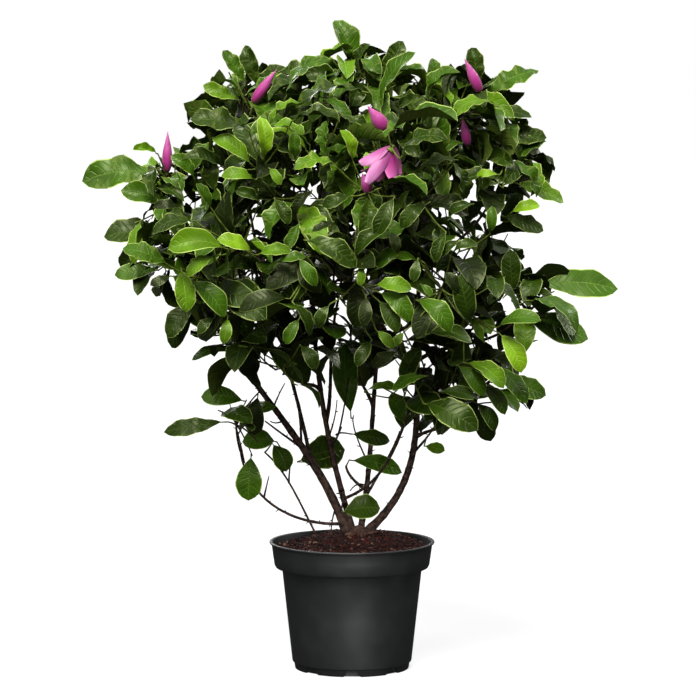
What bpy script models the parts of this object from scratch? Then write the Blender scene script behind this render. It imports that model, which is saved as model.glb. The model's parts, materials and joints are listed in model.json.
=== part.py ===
"""A potted magnolia shrub: several stems from one root crown, in a black ten-litre nursery pot.

Metres, +Z up. The origin is the centre of the pot's underside, +X is to the viewer's right
and -Y is towards the viewer. Sizes in the tables below are millimetres.
"""

import math
import random

import bmesh
import bpy
from mathutils import Vector
from mathutils.bvhtree import BVHTree

MM = 0.001
GAP = 0.3  # clearance that touching pieces keep
LOW = 250.0  # below this height a limb may meet the soil or the root crown

# Pot
POT_HEIGHT = 216.0
LIP_RADIUS = 140.0
COLLAR_RADIUS = 136.0
COLLAR_HEIGHT = 45.0
COLLAR_TAPER = 5.5
BODY_TOP_RADIUS = 118.5
BODY_FOOT_RADIUS = 101.0
FOOT_RADIUS = 98.0
FOOT_HEIGHT = 12.0
POT_WALL = 2.0
POT_FLOOR = 17.0
PAD_RADIUS = 30.0
RECESS_DEPTH = 3.0
NOTCH_COUNT = 8
NOTCH_WIDTH = 25.0
NOTCH_HEIGHT = 11.0
NOTCH_DEPTH = 9.0
POT_SIDES = 40

# Soil and root crown
SOIL_BELOW_LIP = 10.0
MOUND_HEIGHT = 16.0
CROWN_X, CROWN_Y = 11.0, 45.0
CROWN_RADIUS = 33.0
CROWN_HEIGHT = 15.0
CROWN_SIDES = 18
MOUND_RADIUS = CROWN_RADIUS + 6.0
SOIL_RINGS = 3

# Limbs: each tapers from its thick end to its thin end, both given as diameters
LIMB_SIDES = 6
LIMB_STEP = 52.0  # distance between a limb's rings
BOUGH_THICK = 7.0
BOUGH_THIN = 4.2
FORK_SHRINK = 0.8  # a bough is at most this much of its parent's thickness

# name: parent, place along the parent from 0 to 1, the points that bend it, thick end, thin end.
# A stem with no parent starts in the root crown or the soil at its first point.
# A bough with no points heads for its own mass of foliage.
LIMBS = {
    "stem_right": (
        None,
        0,
        ((29, 46, 228), (184, 31, 375), (58, 23, 509), (129, 6, 720), (131, -6, 868)),
        13.0,
        5.0,
    ),
    "stem_middle": (None, 0, ((15, 61, 228), (44, 66, 387), (28, 80, 560), (84, 150, 742)), 10.0, 4.6),
    "stem_centre": (None, 0, ((1, 47, 228), (-62, 36, 439), (-94, 23, 663), (-34, 8, 900)), 10.6, 4.6),
    "stem_left": (None, 0, ((-9, 31, 228), (-61, 5, 380), (-178, -7, 482), (-252, -4, 622)), 16.0, 5.0),
    "stem_upper_left": ("stem_left", 0.30, ((-96, 34, 500), (-170, 35, 678), (-181, 28, 852)), 6.6, 4.4),
    "stem_back_centre": ("stem_centre", 0.29, ((-30, 60, 462), (-44, 104, 530), (-24, 172, 610)), 7.4, 4.4),
    "stem_front": ("stem_centre", 0.085, ((51, -10, 312), (74, -50, 380), (92, -88, 440)), 5.2, 4.0),
    "stem_low_left": ("stem_left", 0.03, ((-95, 5, 240), (-176, -16, 284), (-187, -42, 374)), 5.4, 3.4),
    "shoot_left": (None, 0, ((-50, 10, 205), (-85, -14, 273), (-105, -36, 336), (-146, -56, 374)), 3.8, 3.0),
    "bough_left_lower": ("stem_left", 0.50, (), 6.0, 4.0),
    "bough_left_shoulder": ("stem_left", 0.78, (), BOUGH_THICK, BOUGH_THIN),
    "bough_right_shoulder": ("stem_right", 0.68, (), BOUGH_THICK, BOUGH_THIN),
    "bough_right_far": ("stem_right", 0.48, (), BOUGH_THICK, BOUGH_THIN),
    "bough_right_lower": ("stem_right", 0.27, (), 6.0, 4.0),
    "bough_front_upper_left": ("stem_centre", 0.66, (), BOUGH_THICK, BOUGH_THIN),
    "bough_front_upper_right": ("stem_right", 0.74, (), BOUGH_THICK, BOUGH_THIN),
    "bough_front_left": ("stem_upper_left", 0.42, (), BOUGH_THICK, BOUGH_THIN),
    "bough_front_centre": ("stem_centre", 0.50, (), BOUGH_THICK, BOUGH_THIN),
    "bough_front_right": ("stem_right", 0.56, (), BOUGH_THICK, BOUGH_THIN),
    "bough_front_low_left": ("stem_centre", 0.37, (), BOUGH_THICK, BOUGH_THIN),
    "bough_back_upper_left": ("stem_upper_left", 0.66, (), BOUGH_THICK, BOUGH_THIN),
    "bough_back_left": ("stem_upper_left", 0.30, (), BOUGH_THICK, BOUGH_THIN),
    "bough_back_right": ("stem_middle", 0.62, (), BOUGH_THICK, BOUGH_THIN),
    "bough_back_low": ("stem_middle", 0.42, (), BOUGH_THICK, BOUGH_THIN),
}

# The crown is one form: each mass pulls on the space round it, and the pulls add up where masses meet
PULL_FADE = 2.0  # how fast a mass's pull fades with the square of the distance
CROWN_EDGE = 1.6  # square of how many of its radii a mass reaches by itself

# name: centre, radii, number of twigs, leaves on each, the limb that carries it,
# and the place along that limb where it sprouts from the side, or None at the tip.
MASSES = {
    "left_shoulder": ((-291, 10, 812), (84, 115, 62), 6, 4, "bough_left_shoulder", None),
    "left_flank": ((-302, -10, 708), (84, 115, 62), 6, 4, "stem_left", None),
    "left_lower": ((-206, -30, 596), (84, 108, 70), 6, 4, "bough_left_lower", None),
    "skirt": ((-194, -56, 425), (80, 80, 84), 2, 3, "stem_low_left", None),
    "upper_left": ((-178, 20, 928), (86, 115, 86), 6, 4, "stem_upper_left", None),
    "top": ((4, 0, 970), (108, 115, 82), 7, 4, "stem_centre", None),
    "upper_right": ((194, 20, 940), (90, 115, 80), 6, 4, "stem_right", None),
    "right_shoulder": ((254, 10, 834), (82, 115, 74), 6, 4, "bough_right_shoulder", None),
    "right_far": ((304, -10, 620), (84, 106, 58), 6, 4, "bough_right_far", None),
    "right_lower": ((218, -40, 480), (88, 106, 78), 6, 4, "bough_right_lower", None),
    "front_upper_left": ((-98, -170, 848), (108, 115, 104), 6, 4, "bough_front_upper_left", None),
    "front_upper_right": ((80, -190, 835), (106, 115, 104), 6, 4, "bough_front_upper_right", None),
    "front_left": ((-190, -185, 704), (106, 115, 100), 6, 4, "bough_front_left", None),
    "front_centre": ((-28, -232, 694), (108, 115, 100), 6, 4, "bough_front_centre", None),
    "front_right": ((152, -190, 675), (106, 115, 100), 6, 4, "bough_front_right", None),
    "front_low_left": ((-112, -132, 556), (96, 105, 76), 6, 4, "bough_front_low_left", None),
    "front_low_right": ((121, -112, 518), (98, 105, 92), 6, 4, "stem_front", None),
    "back_upper_left": ((-118, 185, 862), (110, 120, 106), 6, 4, "bough_back_upper_left", None),
    "back_upper_right": ((112, 195, 862), (110, 120, 106), 6, 4, "stem_middle", None),
    "back_left": ((-190, 200, 664), (112, 120, 104), 6, 4, "bough_back_left", None),
    "back_centre": ((-3, 275, 722), (110, 115, 106), 6, 4, "stem_back_centre", None),
    "back_right": ((196, 200, 672), (112, 120, 104), 6, 4, "bough_back_right", None),
    "back_low": ((-3, 180, 552), (108, 110, 90), 6, 4, "bough_back_low", None),
    "inner": ((-18, -22, 404), (70, 70, 70), 1, 1, "stem_centre", 0.22),
    "foot": ((-14, -6, 296), (30, 30, 30), 1, 1, "stem_centre", 0.10),
}

# Single leaves that stand out past their mass, each from its foot to its tip
OUTER_LEAVES = {
    "left_shoulder": (((-317, 0, 840), (-456, 0, 829)), ((-301, -30, 787), (-386, -30, 810))),
    "left_flank": (((-309, 0, 740), (-419, 0, 735)), ((-326, -10, 675), (-399, -10, 668))),
    "left_lower": (((-268, -20, 616), (-307, -20, 545)), ((-262, -50, 634), (-309, -50, 566))),
    "skirt": (
        ((-176, -50, 462), (-254, -50, 470)),
        ((-210, -60, 426), (-319, -60, 414)),
        ((-167, -46, 367), (-174, -44, 290)),
        ((-156, -80, 394), (-104, -84, 408)),
        ((-154, -70, 478), (-162, -76, 404)),
    ),
    "upper_left": (
        ((-157, 10, 985), (-178, 10, 1054)),
        ((-177, 0, 992), (-216, 0, 1044)),
        ((-187, -10, 962), (-249, -10, 988)),
    ),
    "top": (
        ((9, 0, 1012), (-29, 0, 1096)),
        ((52, 0, 998), (84, 0, 1062)),
        ((-4, 0, 988), (-66, 0, 1032)),
    ),
    "upper_right": (
        ((214, -10, 985), (200, -10, 1050)),
        ((142, 0, 958), (134, 0, 1032)),
        ((221, 10, 972), (313, 10, 1017)),
        ((231, 0, 944), (301, -20, 936)),
    ),
    "right_shoulder": (
        ((253, 0, 860), (326, 0, 893)),
        ((273, 0, 822), (357, 0, 790)),
        ((250, -20, 764), (320, -20, 742)),
        ((240, 0, 884), (327, 0, 902)),
    ),
    "right_far": (
        ((267, -40, 636), (264, -44, 714)),
        ((310, 0, 655), (447, 0, 643)),
        ((280, -20, 605), (398, -20, 562)),
        ((289, -50, 550), (361, -50, 519)),
    ),
    "right_lower": (
        ((282, -30, 520), (359, -30, 512)),
        ((248, -30, 500), (326, -30, 467)),
        ((206, -60, 452), (234, -60, 392)),
    ),
    "front_low_left": (((-150, -160, 565), (-66, -160, 505)),),
    "front_low_right": (((86, -100, 420), (66, -104, 480)), ((122, -66, 400), (158, -62, 376))),
    "inner": (
        ((-6, -66, 500), (0, -72, 420)),
        ((-2, -16, 400), (66, -20, 392)),
        ((-26, 64, 388), (-94, 70, 352)),
        ((8, -2, 356), (84, -6, 342)),
    ),
    "foot": (((-18, -8, 264), (48, -14, 276)),),
}

# Buds and flowers, each from its foot to its tip, and its diameter
BLOSSOMS = {
    "left_shoulder": (((-311, -24, 846), (-307, -24, 910), 17),),
    "upper_left": (((-162, -60, 963), (-124, -64, 1014), 18),),
    "upper_right": (((216, -30, 980), (187, -34, 1031), 18), ((193, -66, 885), (183, -70, 936), 16)),
    "front_upper_right": (
        ((52, -230, 926), (25, -238, 958), 24),
        ((62, -276, 896), (30, -286, 846), 40),
        ((22, -276, 820), (16, -284, 852), 16),
    ),
}

BUD_SIDES = 5
BUD_RINGS = ((0.22, 0.8), (0.5, 1.0), (0.8, 0.55))  # shares of its length and of its width

# Boughs
TIP_SHARE = 0.8  # how near the edge of its mass a bough ends, where there is room
TIP_LEAST = 0.2
TIP_STEP = 0.05
TIP_CLEAR = 6.0  # room that a bough's tip keeps to the next mass
BOUGH_HANDLE = 0.33  # length of a bough's bends, as a share of its reach

# Foliage: stems and twigs
TWIG_SIDES = 3
TWIG_THICK = 5.2
TWIG_THIN = 3.8
TWIG_SLIM = 0.85  # a twig is this much of its stem's thickness at the fork
TWIG_REACH = 0.56  # how far towards the edge of its mass a twig goes
TWIG_SHORTER = 0.75  # what a twig that didn't fit is shortened to
TWIG_TRIES = 4
TWIG_RINGS = 2
STEM_RINGS = 3
STEM_RISE = 0.12  # how far above its middle a mass's stem ends
STEM_BEND = 0.45
FIRST_TWIG = 0.25  # place along its stem where the lowest twig leaves
OUTER_TWIG = 0.75  # place along its stem where twigs of single leaves and blossoms leave

# Foliage: leaves
FIRST_LEAF = 0.35  # the leaves of a twig start beyond this place along it
SUNK = 0.93  # place along a twig where its end leaf or its bud is rooted
LEAF_LONG = 142.0
LEAF_SHORT = 106.0
LEAF_LEAST = 80.0
LEAF_WIDTH = 0.5  # share of its length
LEAF_THICK = 0.036  # share of its length, at the middle
LEAF_MIDDLE = 0.45  # where a leaf is widest
LEAF_ARCH = 0.07
LEAF_ARCH_RANGE = (0.5, 1.4)
LEAF_SPREAD = 62.0  # degrees between a leaf and its twig near the twig's foot
LEAF_CLOSING = 20.0  # degrees less than that at the twig's tip
SPREAD_JITTER = 12.0
SPREAD_STEP = 3.0  # degrees wider at each further try
SIDE_JITTER = 8.0  # degrees off the middle of a twig's side
LEAF_ROLL = 45.0
LEAF_OUTWARDS = 0.2
LEAF_DROOP = 0.2
LEAF_TRIES = 34
LEAF_SHRINK = 0.97
LIMB_CLEAR = 1.0
CELL_CLEAR = 0.5
LEAST_KEPT = 0.9  # share of the parts' volume that a good union keeps
GOLDEN_ANGLE = math.radians(137.508)
DOWN = Vector((0, 0, -1))
UP = Vector((0, 0, 1))
OUTER_LOOK = Vector((0, -0.8, 0.6))  # the way the upper faces of the outer leaves look


def at(place):
    """A place in millimetres as a vector in metres."""
    return Vector(place) * MM


def clear_scene():
    """Empties the file of objects."""
    for old in list(bpy.data.objects):
        bpy.data.objects.remove(old, do_unlink=True)


def finish(name, colour, roughness):
    """A material with one plain colour."""
    material = bpy.data.materials.new(name)
    material.use_nodes = True
    shader = material.node_tree.nodes["Principled BSDF"]
    shader.inputs["Base Color"].default_value = (*colour, 1)
    shader.inputs["Roughness"].default_value = roughness
    return material


def add_object(name, shape, material=None):
    """A mesh object from a pair of corners and faces."""
    corners, faces = shape
    mesh = bpy.data.meshes.new(name)
    mesh.from_pydata(corners, [], faces)
    shaped = bmesh.new()
    shaped.from_mesh(mesh)
    bmesh.ops.recalc_face_normals(shaped, faces=shaped.faces)
    shaped.to_mesh(mesh)
    shaped.free()
    if material:
        mesh.materials.append(material)
    piece = bpy.data.objects.new(name, mesh)
    bpy.context.scene.collection.objects.link(piece)
    return piece


def drop(pieces):
    """Removes objects that were only a help."""
    for piece in pieces:
        bpy.data.objects.remove(piece, do_unlink=True)


def volume_of(piece):
    """The volume that a piece's faces enclose."""
    shaped = bmesh.new()
    shaped.from_mesh(piece.data)
    volume = shaped.calc_volume()
    shaped.free()
    return volume


def apply_boolean(piece, operation, others, solver="EXACT"):
    """Joins or cuts a piece with a collection of other objects."""
    group = bpy.data.collections.new("others")
    bpy.context.scene.collection.children.link(group)
    for other in others:
        group.objects.link(other)
    change = piece.modifiers.new("Boolean", "BOOLEAN")
    change.operation = operation
    change.operand_type = "COLLECTION"
    change.collection = group
    change.solver = solver
    evaluated = piece.evaluated_get(bpy.context.evaluated_depsgraph_get())
    made = bpy.data.meshes.new_from_object(evaluated)
    piece.modifiers.clear()
    bpy.data.collections.remove(group)
    return made


def cut(piece, cutters):
    """Cuts other objects out of a piece and removes them."""
    piece.data = apply_boolean(piece, "DIFFERENCE", cutters)
    drop(cutters)
    keep_largest(piece)


def fuse(piece, parts):
    """Joins a piece with others and removes them, by a second solver where the first loses some."""
    least = (volume_of(piece) + sum(volume_of(part) for part in parts)) * LEAST_KEPT
    before = piece.data
    for solver in ("EXACT", "MANIFOLD"):
        piece.data = before
        piece.data = apply_boolean(piece, "UNION", parts, solver)
        keep_largest(piece)
        if volume_of(piece) > least:
            break
    drop(parts)


def keep_largest(piece):
    """Drops loose scraps, and keeps the body with the most corners."""
    shaped = bmesh.new()
    shaped.from_mesh(piece.data)
    left = set(shaped.verts)
    bodies = []
    while left:
        body, edge = set(), [left.pop()]
        while edge:
            corner = edge.pop()
            body.add(corner)
            near = [e.other_vert(corner) for e in corner.link_edges]
            edge += [v for v in near if v in left]
            left.difference_update(near)
        bodies.append(body)
    bodies.sort(key=len)
    scraps = [v for body in bodies[:-1] for v in body]
    bmesh.ops.delete(shaped, geom=scraps, context="VERTS")
    shaped.to_mesh(piece.data)
    shaped.free()


def turned(profile, sides, centre=(0, 0), lobes=0.0):
    """A body turned round a vertical axis from (radius, height) points, with lobes or plain round."""
    corners, faces, rings = [], [], []
    for radius, height in profile:
        ring = []
        for i in range(1 if radius == 0 else sides):
            turn = 2 * math.pi * i / sides
            reach = radius * (1 + lobes * (math.cos(3 * turn + 0.6) + 0.5 * math.cos(5 * turn)))
            ring.append(len(corners))
            level = (centre[0] + reach * math.cos(turn), centre[1] + reach * math.sin(turn))
            corners.append(at((*level, height)))
        rings.append(ring)
    for low, high in zip(rings, rings[1:]):
        for i in range(sides):
            j = (i + 1) % sides
            if len(low) == 1:
                faces.append((low[0], high[i], high[j]))
            elif len(high) == 1:
                faces.append((low[i], high[0], low[j]))
            else:
                faces.append((low[i], high[i], high[j], low[j]))
    return corners, faces


def bezier(points, share):
    """The point a share of the way along a Bezier curve with any number of points."""
    points = list(points)
    while len(points) > 1:
        points = [a.lerp(b, share) for a, b in zip(points, points[1:])]
    return points[0]


def route_of(points, count):
    """Evenly numbered points along a Bezier curve."""
    return [bezier(points, i / (count - 1)) for i in range(count)]


def length_of(route):
    """The length of a row of points."""
    return sum((b - a).length for a, b in zip(route, route[1:]))


def across(direction):
    """A unit vector square to a direction."""
    helper = UP if abs(direction.z) < 0.9 else Vector((1, 0, 0))
    return direction.cross(helper).normalized()


def leaf(foot, along, face_up, length, arch):
    """A thin arched leaf: a foot, a tip, two edges and the ridge of its midrib."""
    side = along.cross(face_up).normalized()
    middle = foot + along * length * LEAF_MIDDLE + face_up * length * arch
    edge = side * length * LEAF_WIDTH * 0.5
    ridge = middle + face_up * length * LEAF_THICK
    corners = [foot, foot + along * length, middle - edge, middle + edge, ridge]
    faces = [(0, 2, 4), (0, 4, 3), (1, 4, 2), (1, 3, 4), (0, 3, 2), (1, 2, 3)]
    return corners, faces


def bud(foot, tip, width):
    """A pointed bud, widest at its middle."""
    along = tip - foot
    side = across(along.normalized())
    other = along.normalized().cross(side)
    corners = [foot, tip]
    for share, breadth in BUD_RINGS:
        for i in range(BUD_SIDES):
            turn = 2 * math.pi * i / BUD_SIDES
            spoke = (side * math.cos(turn) + other * math.sin(turn)) * width * 0.5 * breadth * MM
            corners.append(foot + along * share + spoke)
    faces = []
    low, middle, high = (2 + BUD_SIDES * ring for ring in range(3))
    for i in range(BUD_SIDES):
        j = (i + 1) % BUD_SIDES
        faces += [(0, low + j, low + i), (1, high + i, high + j)]
        faces += [(low + i, low + j, middle + j, middle + i), (middle + i, middle + j, high + j, high + i)]
    return corners, faces


def tree_of(shapes):
    """One search tree over several shapes."""
    corners, faces = [], []
    for more_corners, more_faces in shapes:
        start = len(corners)
        corners += more_corners
        faces += [tuple(start + i for i in face) for face in more_faces]
    return BVHTree.FromPolygons(corners, faces)


class Limb:
    """One tapering stem, bough or twig: its route, its thickness in millimetres and its sides."""

    def __init__(self, route, thick, thin, sides=LIMB_SIDES, first=None):
        self.route = route
        self.thick = thick
        self.thin = thin
        self.sides = sides
        self.frames = []
        side = across((route[1] - route[0]).normalized())
        for k in range(len(route)):
            ahead = (route[min(k + 1, len(route) - 1)] - route[max(k - 1, 0)]).normalized()
            if k == 0 and first:
                ahead = first
            side = (side - ahead * side.dot(ahead)).normalized()
            self.frames.append((side, ahead.cross(side)))

    def place(self, share):
        """The point, the direction and the diameter a share of the way along."""
        spot = share * (len(self.route) - 1)
        k = min(int(spot), len(self.route) - 2)
        ahead = (self.route[k + 1] - self.route[k]).normalized()
        middle = self.route[k].lerp(self.route[k + 1], spot - k)
        return middle, ahead, self.thick + (self.thin - self.thick) * share

    def spoke(self, share, turn):
        """The way out from the axis at an angle round it, a share of the way along."""
        k = round(share * (len(self.route) - 1))
        side, other = self.frames[k]
        return side * math.cos(turn) + other * math.sin(turn)

    def solid(self, wider=0.0):
        """Its solid, or one with more room all round."""
        corners, faces = [], []
        last = len(self.route) - 1
        for k, (middle, (side, other)) in enumerate(zip(self.route, self.frames)):
            radius = ((self.thick + (self.thin - self.thick) * k / last) / 2 + wider) * MM
            for i in range(self.sides):
                turn = 2 * math.pi * i / self.sides
                corners.append(middle + (side * math.cos(turn) + other * math.sin(turn)) * radius)
        for low in range(0, last * self.sides, self.sides):
            for i in range(self.sides):
                j = (i + 1) % self.sides
                faces.append((low + i, low + j, low + self.sides + j, low + self.sides + i))
        faces.append(tuple(reversed(range(self.sides))))
        faces.append(tuple(last * self.sides + i for i in range(self.sides)))
        return corners, faces


class Mass:
    """The space of one mass of foliage: its part of the crown, kept clear of the spaces next to it."""

    def __init__(self, name):
        centre, radii, self.twigs, self.leaves, self.carrier, self.side_share = MASSES[name]
        self.name = name
        self.centre = at(centre)
        self.radii = at(radii)
        size = sum(radii) / 3 * MM
        self.walls = []
        for other, (place, spread, *_) in MASSES.items():
            if other == name:
                continue
            apart = at(place) - self.centre
            bias = size**2 - (sum(spread) / 3 * MM) ** 2
            self.walls.append((apart.normalized(), (apart.length_squared + bias) / (2 * apart.length)))

    def in_cell(self, place, clear=CELL_CLEAR):
        """Whether a place is on this mass's side of every wall between two masses."""
        out = place - self.centre
        return all(out.dot(way) < far - clear * MM for way, far in self.walls)

    def pull(self, place):
        """How strongly this mass draws a place into the crown, from 1 at its centre to 0 far off."""
        out = place - self.centre
        return math.exp(-PULL_FADE * sum((out[i] / self.radii[i]) ** 2 for i in range(3)))

    def holds(self, place):
        """Whether a place is in the cell and within the crown."""
        least = math.exp(-PULL_FADE * CROWN_EDGE)
        return self.in_cell(place) and sum(mass.pull(place) for mass in self.all_masses) > least

    def edge(self, way, share):
        """A point on the way from the centre to the ellipsoid's surface."""
        reach = 1 / math.sqrt(sum((way[i] / self.radii[i]) ** 2 for i in range(3)))
        return self.centre + way * reach * share


def limb_tip(mass, start):
    """Where a bough from a start enters its mass, low on the side that faces the start."""
    way = ((start - mass.centre).normalized() * 0.7 + DOWN * 0.3).normalized()
    share = TIP_SHARE
    while share > TIP_LEAST and not mass.in_cell(mass.edge(way, share), TIP_CLEAR):
        share -= TIP_STEP
    return mass.edge(way, share)


def grow_limbs(masses):
    """All stems and boughs, each from its parent to its own mass."""
    limbs = {}
    heads_for = {mass.carrier: mass for mass in masses if mass.side_share is None}
    for name, (parent, share, bends, thick, thin) in LIMBS.items():
        points = [at(bend) for bend in bends]
        if parent:
            start, ahead, parent_thick = limbs[parent].place(share)
            thick = min(thick, parent_thick * FORK_SHRINK)
            if not points:
                mass = heads_for[name]
                tip = limb_tip(mass, start)
                handle = (tip - start).length * BOUGH_HANDLE
                straight = (tip - start).normalized()
                leave = (ahead * 0.35 + straight).normalized()
                enter = ((mass.centre - tip).normalized() * 0.6 + straight + UP * 0.5).normalized()
                points = [start + leave * handle, tip - enter * handle, tip]
            points.insert(0, start)
        count = max(4, round(length_of(route_of(points, 12)) / (LIMB_STEP * MM)) + 1)
        limbs[name] = Limb(route_of(points, count), thick, thin)
    return limbs


def mass_stem(mass, limbs):
    """The stem of one mass, from its bough's tip to the middle of its space."""
    limb = limbs[mass.carrier]
    if mass.side_share is None:
        tip, ahead, _ = limb.place(1.0)
        start = tip + ahead * GAP * MM
    else:
        start, _, _ = limb.place(mass.side_share)
        ahead = (mass.centre - start).normalized()
    end = mass.centre + UP * mass.radii.z * STEM_RISE
    bend = start + ahead * (end - start).length * STEM_BEND
    return Limb(route_of((start, bend, end), STEM_RINGS), TWIG_THICK, TWIG_THIN, TWIG_SIDES, ahead)


def sphere_ways(count, phase):
    """Directions spread evenly over a sphere by the golden angle, from the lowest to the highest."""
    ways = []
    for i in range(count):
        height = -1 + 2 * (i + 0.5) / count
        turn = phase + i * GOLDEN_ANGLE
        flat = math.sqrt(1 - height * height)
        ways.append(Vector((flat * math.cos(turn), flat * math.sin(turn), height)))
    return ways


def twig_between(start, ahead, end):
    """A twig that leaves its stem along it and curves to its end."""
    bend = start + (ahead * 0.3 + (end - start).normalized() * 0.5) * (end - start).length * 0.6
    return Limb(route_of((start, bend, end), TWIG_RINGS), TWIG_THICK * TWIG_SLIM, TWIG_THIN, TWIG_SIDES)


def face_of(along, look, roll):
    """The way a leaf's upper face looks, square to the leaf and rolled by an angle."""
    face = (look - along * look.dot(along)).normalized()
    return (face * math.cos(roll) + along.cross(face) * math.sin(roll)).normalized()


def outwards(place):
    """The level way out from the middle of the plant."""
    return Vector((place.x, place.y, 0)).normalized()


def grow_twigs(mass, stem, rng, taken):
    """Twigs from a mass's stem towards all sides of its space."""
    twigs = []
    ways = sphere_ways(mass.twigs, rng.uniform(0, 2 * math.pi))
    for i, way in enumerate(ways):
        share = FIRST_TWIG + (1 - FIRST_TWIG) * (i + 0.5) / len(ways)
        start, ahead, _ = stem.place(share)
        reach = TWIG_REACH
        for _ in range(TWIG_TRIES):
            twig = twig_between(start, ahead, mass.edge(way, reach))
            fits = all(mass.holds(place) for place in twig.route[1:])
            if fits and not tree_of([twig.solid()]).overlap(taken):
                twigs.append(twig)
                break
            reach *= TWIG_SHORTER
    return twigs


def grow_leaf(mass, twig, share, number, rng, taken, others):
    """One leaf from the middle of a twig's side, tilted and shortened until it fits, or None."""
    foot, ahead, _ = twig.place(share)
    out = (foot - mass.centre).normalized()
    look = UP * 0.5 + outwards(foot) * 0.6
    length = rng.uniform(LEAF_SHORT, LEAF_LONG)
    roll = math.radians(rng.uniform(-LEAF_ROLL, LEAF_ROLL))
    arch = LEAF_ARCH * rng.uniform(*LEAF_ARCH_RANGE)
    for trial in range(LEAF_TRIES):
        spread = LEAF_SPREAD - LEAF_CLOSING * share + rng.uniform(-SPREAD_JITTER, SPREAD_JITTER)
        spread = math.radians(spread + SPREAD_STEP * trial)
        side = 360 / TWIG_SIDES * (number + trial + 0.5)
        turn = math.radians(side + rng.uniform(-SIDE_JITTER, SIDE_JITTER))
        along = ahead * math.cos(spread) + twig.spoke(share, turn) * math.sin(spread)
        along = (along + out * LEAF_OUTWARDS + DOWN * LEAF_DROOP).normalized()
        shape = leaf(foot, along, face_of(along, look, roll), length * MM, arch)
        fits = all(mass.holds(place) for place in shape[0])
        if fits:
            tree = tree_of([shape])
            if not tree.overlap(taken) and not any(tree.overlap(other) for other in others):
                return shape, tree
        length = max(length * LEAF_SHRINK, LEAF_LEAST)
    return None


def grow_mass(mass, stem, seed, obstacles):
    """The stem, twigs, leaves and blossoms of one mass, as shapes that meet only where they fork."""
    rng = random.Random(seed)
    stem_shape = stem.solid()
    twigs, leaves, leaf_trees = [], [], []
    for foot, tip in OUTER_LEAVES.get(mass.name, ()):
        foot, tip = at(foot), at(tip)
        start, ahead, _ = stem.place(OUTER_TWIG)
        twig = twig_between(start, ahead, foot)
        foot = twig.place(SUNK)[0]
        along = (tip - foot).normalized()
        shape = leaf(foot, along, face_of(along, OUTER_LOOK, 0.0), (tip - foot).length, LEAF_ARCH)
        tree = tree_of([shape])
        held = all(mass.in_cell(place) for place in shape[0])
        if not held or tree.overlap(obstacles) or tree_of([twig.solid()]).overlap(obstacles):
            continue
        twigs.append(twig)
        leaves.append(shape)
        leaf_trees.append(tree)
    for foot, tip, width in BLOSSOMS.get(mass.name, ()):
        foot, tip = at(foot), at(tip)
        start, ahead, _ = stem.place(OUTER_TWIG)
        twigs.append(twig_between(start, ahead, foot))
        shape = bud(twigs[-1].place(SUNK)[0], tip, width)
        leaves.append(shape)
        leaf_trees.append(tree_of([shape]))
    placed = len(twigs)
    twigs += grow_twigs(mass, stem, rng, obstacles)
    twig_trees = [tree_of([twig.solid()]) for twig in twigs]
    stem_tree = tree_of([stem_shape])
    for i, twig in enumerate(twigs[placed:], placed):
        others = twig_trees[:i] + twig_trees[i + 1 :]
        for k in range(mass.leaves):
            share = min(FIRST_LEAF + (1 - FIRST_LEAF) * (k + 1) / mass.leaves, SUNK)
            own = random.Random(seed * 1000 + i * 50 + k)
            near = others + [stem_tree] + leaf_trees
            grown = grow_leaf(mass, twig, share, k, own, obstacles, near)
            if grown:
                leaves.append(grown[0])
                leaf_trees.append(grown[1])
    return stem_shape, [twig.solid() for twig in twigs], leaves


def make_pot(material):
    """The pot: a tapered body, a collar with a thin lip, and a notched foot."""
    collar_low = POT_HEIGHT - COLLAR_HEIGHT
    collar_foot = COLLAR_RADIUS - COLLAR_TAPER
    outside = [
        (0, 0),
        (PAD_RADIUS, 0),
        (PAD_RADIUS + 2, RECESS_DEPTH),
        (FOOT_RADIUS - 14, RECESS_DEPTH),
        (FOOT_RADIUS - 12, 0),
        (FOOT_RADIUS - 2, 0),
        (FOOT_RADIUS, FOOT_HEIGHT),
        (BODY_FOOT_RADIUS, FOOT_HEIGHT + 2),
        (BODY_TOP_RADIUS, collar_low),
        (collar_foot - 3, collar_low),
        (collar_foot, collar_low + 3),
        (COLLAR_RADIUS, POT_HEIGHT - 3),
        (LIP_RADIUS, POT_HEIGHT - 2),
        (LIP_RADIUS, POT_HEIGHT),
    ]
    pot = add_object("pot", turned(outside + inside_of_pot(0.0), POT_SIDES), material)
    cutters = []
    for i in range(NOTCH_COUNT):
        turn = 2 * math.pi * i / NOTCH_COUNT - math.pi / 2
        cutters.append(add_object("notch", notch(turn)))
    cut(pot, cutters)


def inside_of_pot(gap):
    """The pot's inner profile from the lip down to the floor, or what fills it with a gap all round."""
    collar_low = POT_HEIGHT - COLLAR_HEIGHT
    return [
        (COLLAR_RADIUS - 2.5 - gap, POT_HEIGHT),
        (COLLAR_RADIUS - COLLAR_TAPER - POT_WALL - gap, collar_low + POT_WALL + gap),
        (BODY_TOP_RADIUS - POT_WALL - gap, collar_low + gap),
        (BODY_FOOT_RADIUS - POT_WALL - gap, POT_FLOOR + gap),
        (0, POT_FLOOR + gap),
    ]


def notch(turn):
    """A wedge that cuts one drain notch out of the pot's foot, wider at the bottom."""
    out = Vector((math.cos(turn), math.sin(turn), 0))
    side = Vector((-out.y, out.x, 0))
    corners = []
    for height, width in ((-2.0, NOTCH_WIDTH * 1.25), (NOTCH_HEIGHT, NOTCH_WIDTH * 0.75)):
        for reach in (FOOT_RADIUS - NOTCH_DEPTH, FOOT_RADIUS + 8):
            for half in (-0.5, 0.5):
                corners.append((out * reach + side * width * half + UP * height) * MM)
    faces = [(0, 1, 3, 2), (4, 6, 7, 5), (0, 2, 6, 4), (1, 5, 7, 3), (0, 4, 5, 1), (2, 3, 7, 6)]
    return corners, faces


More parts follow.
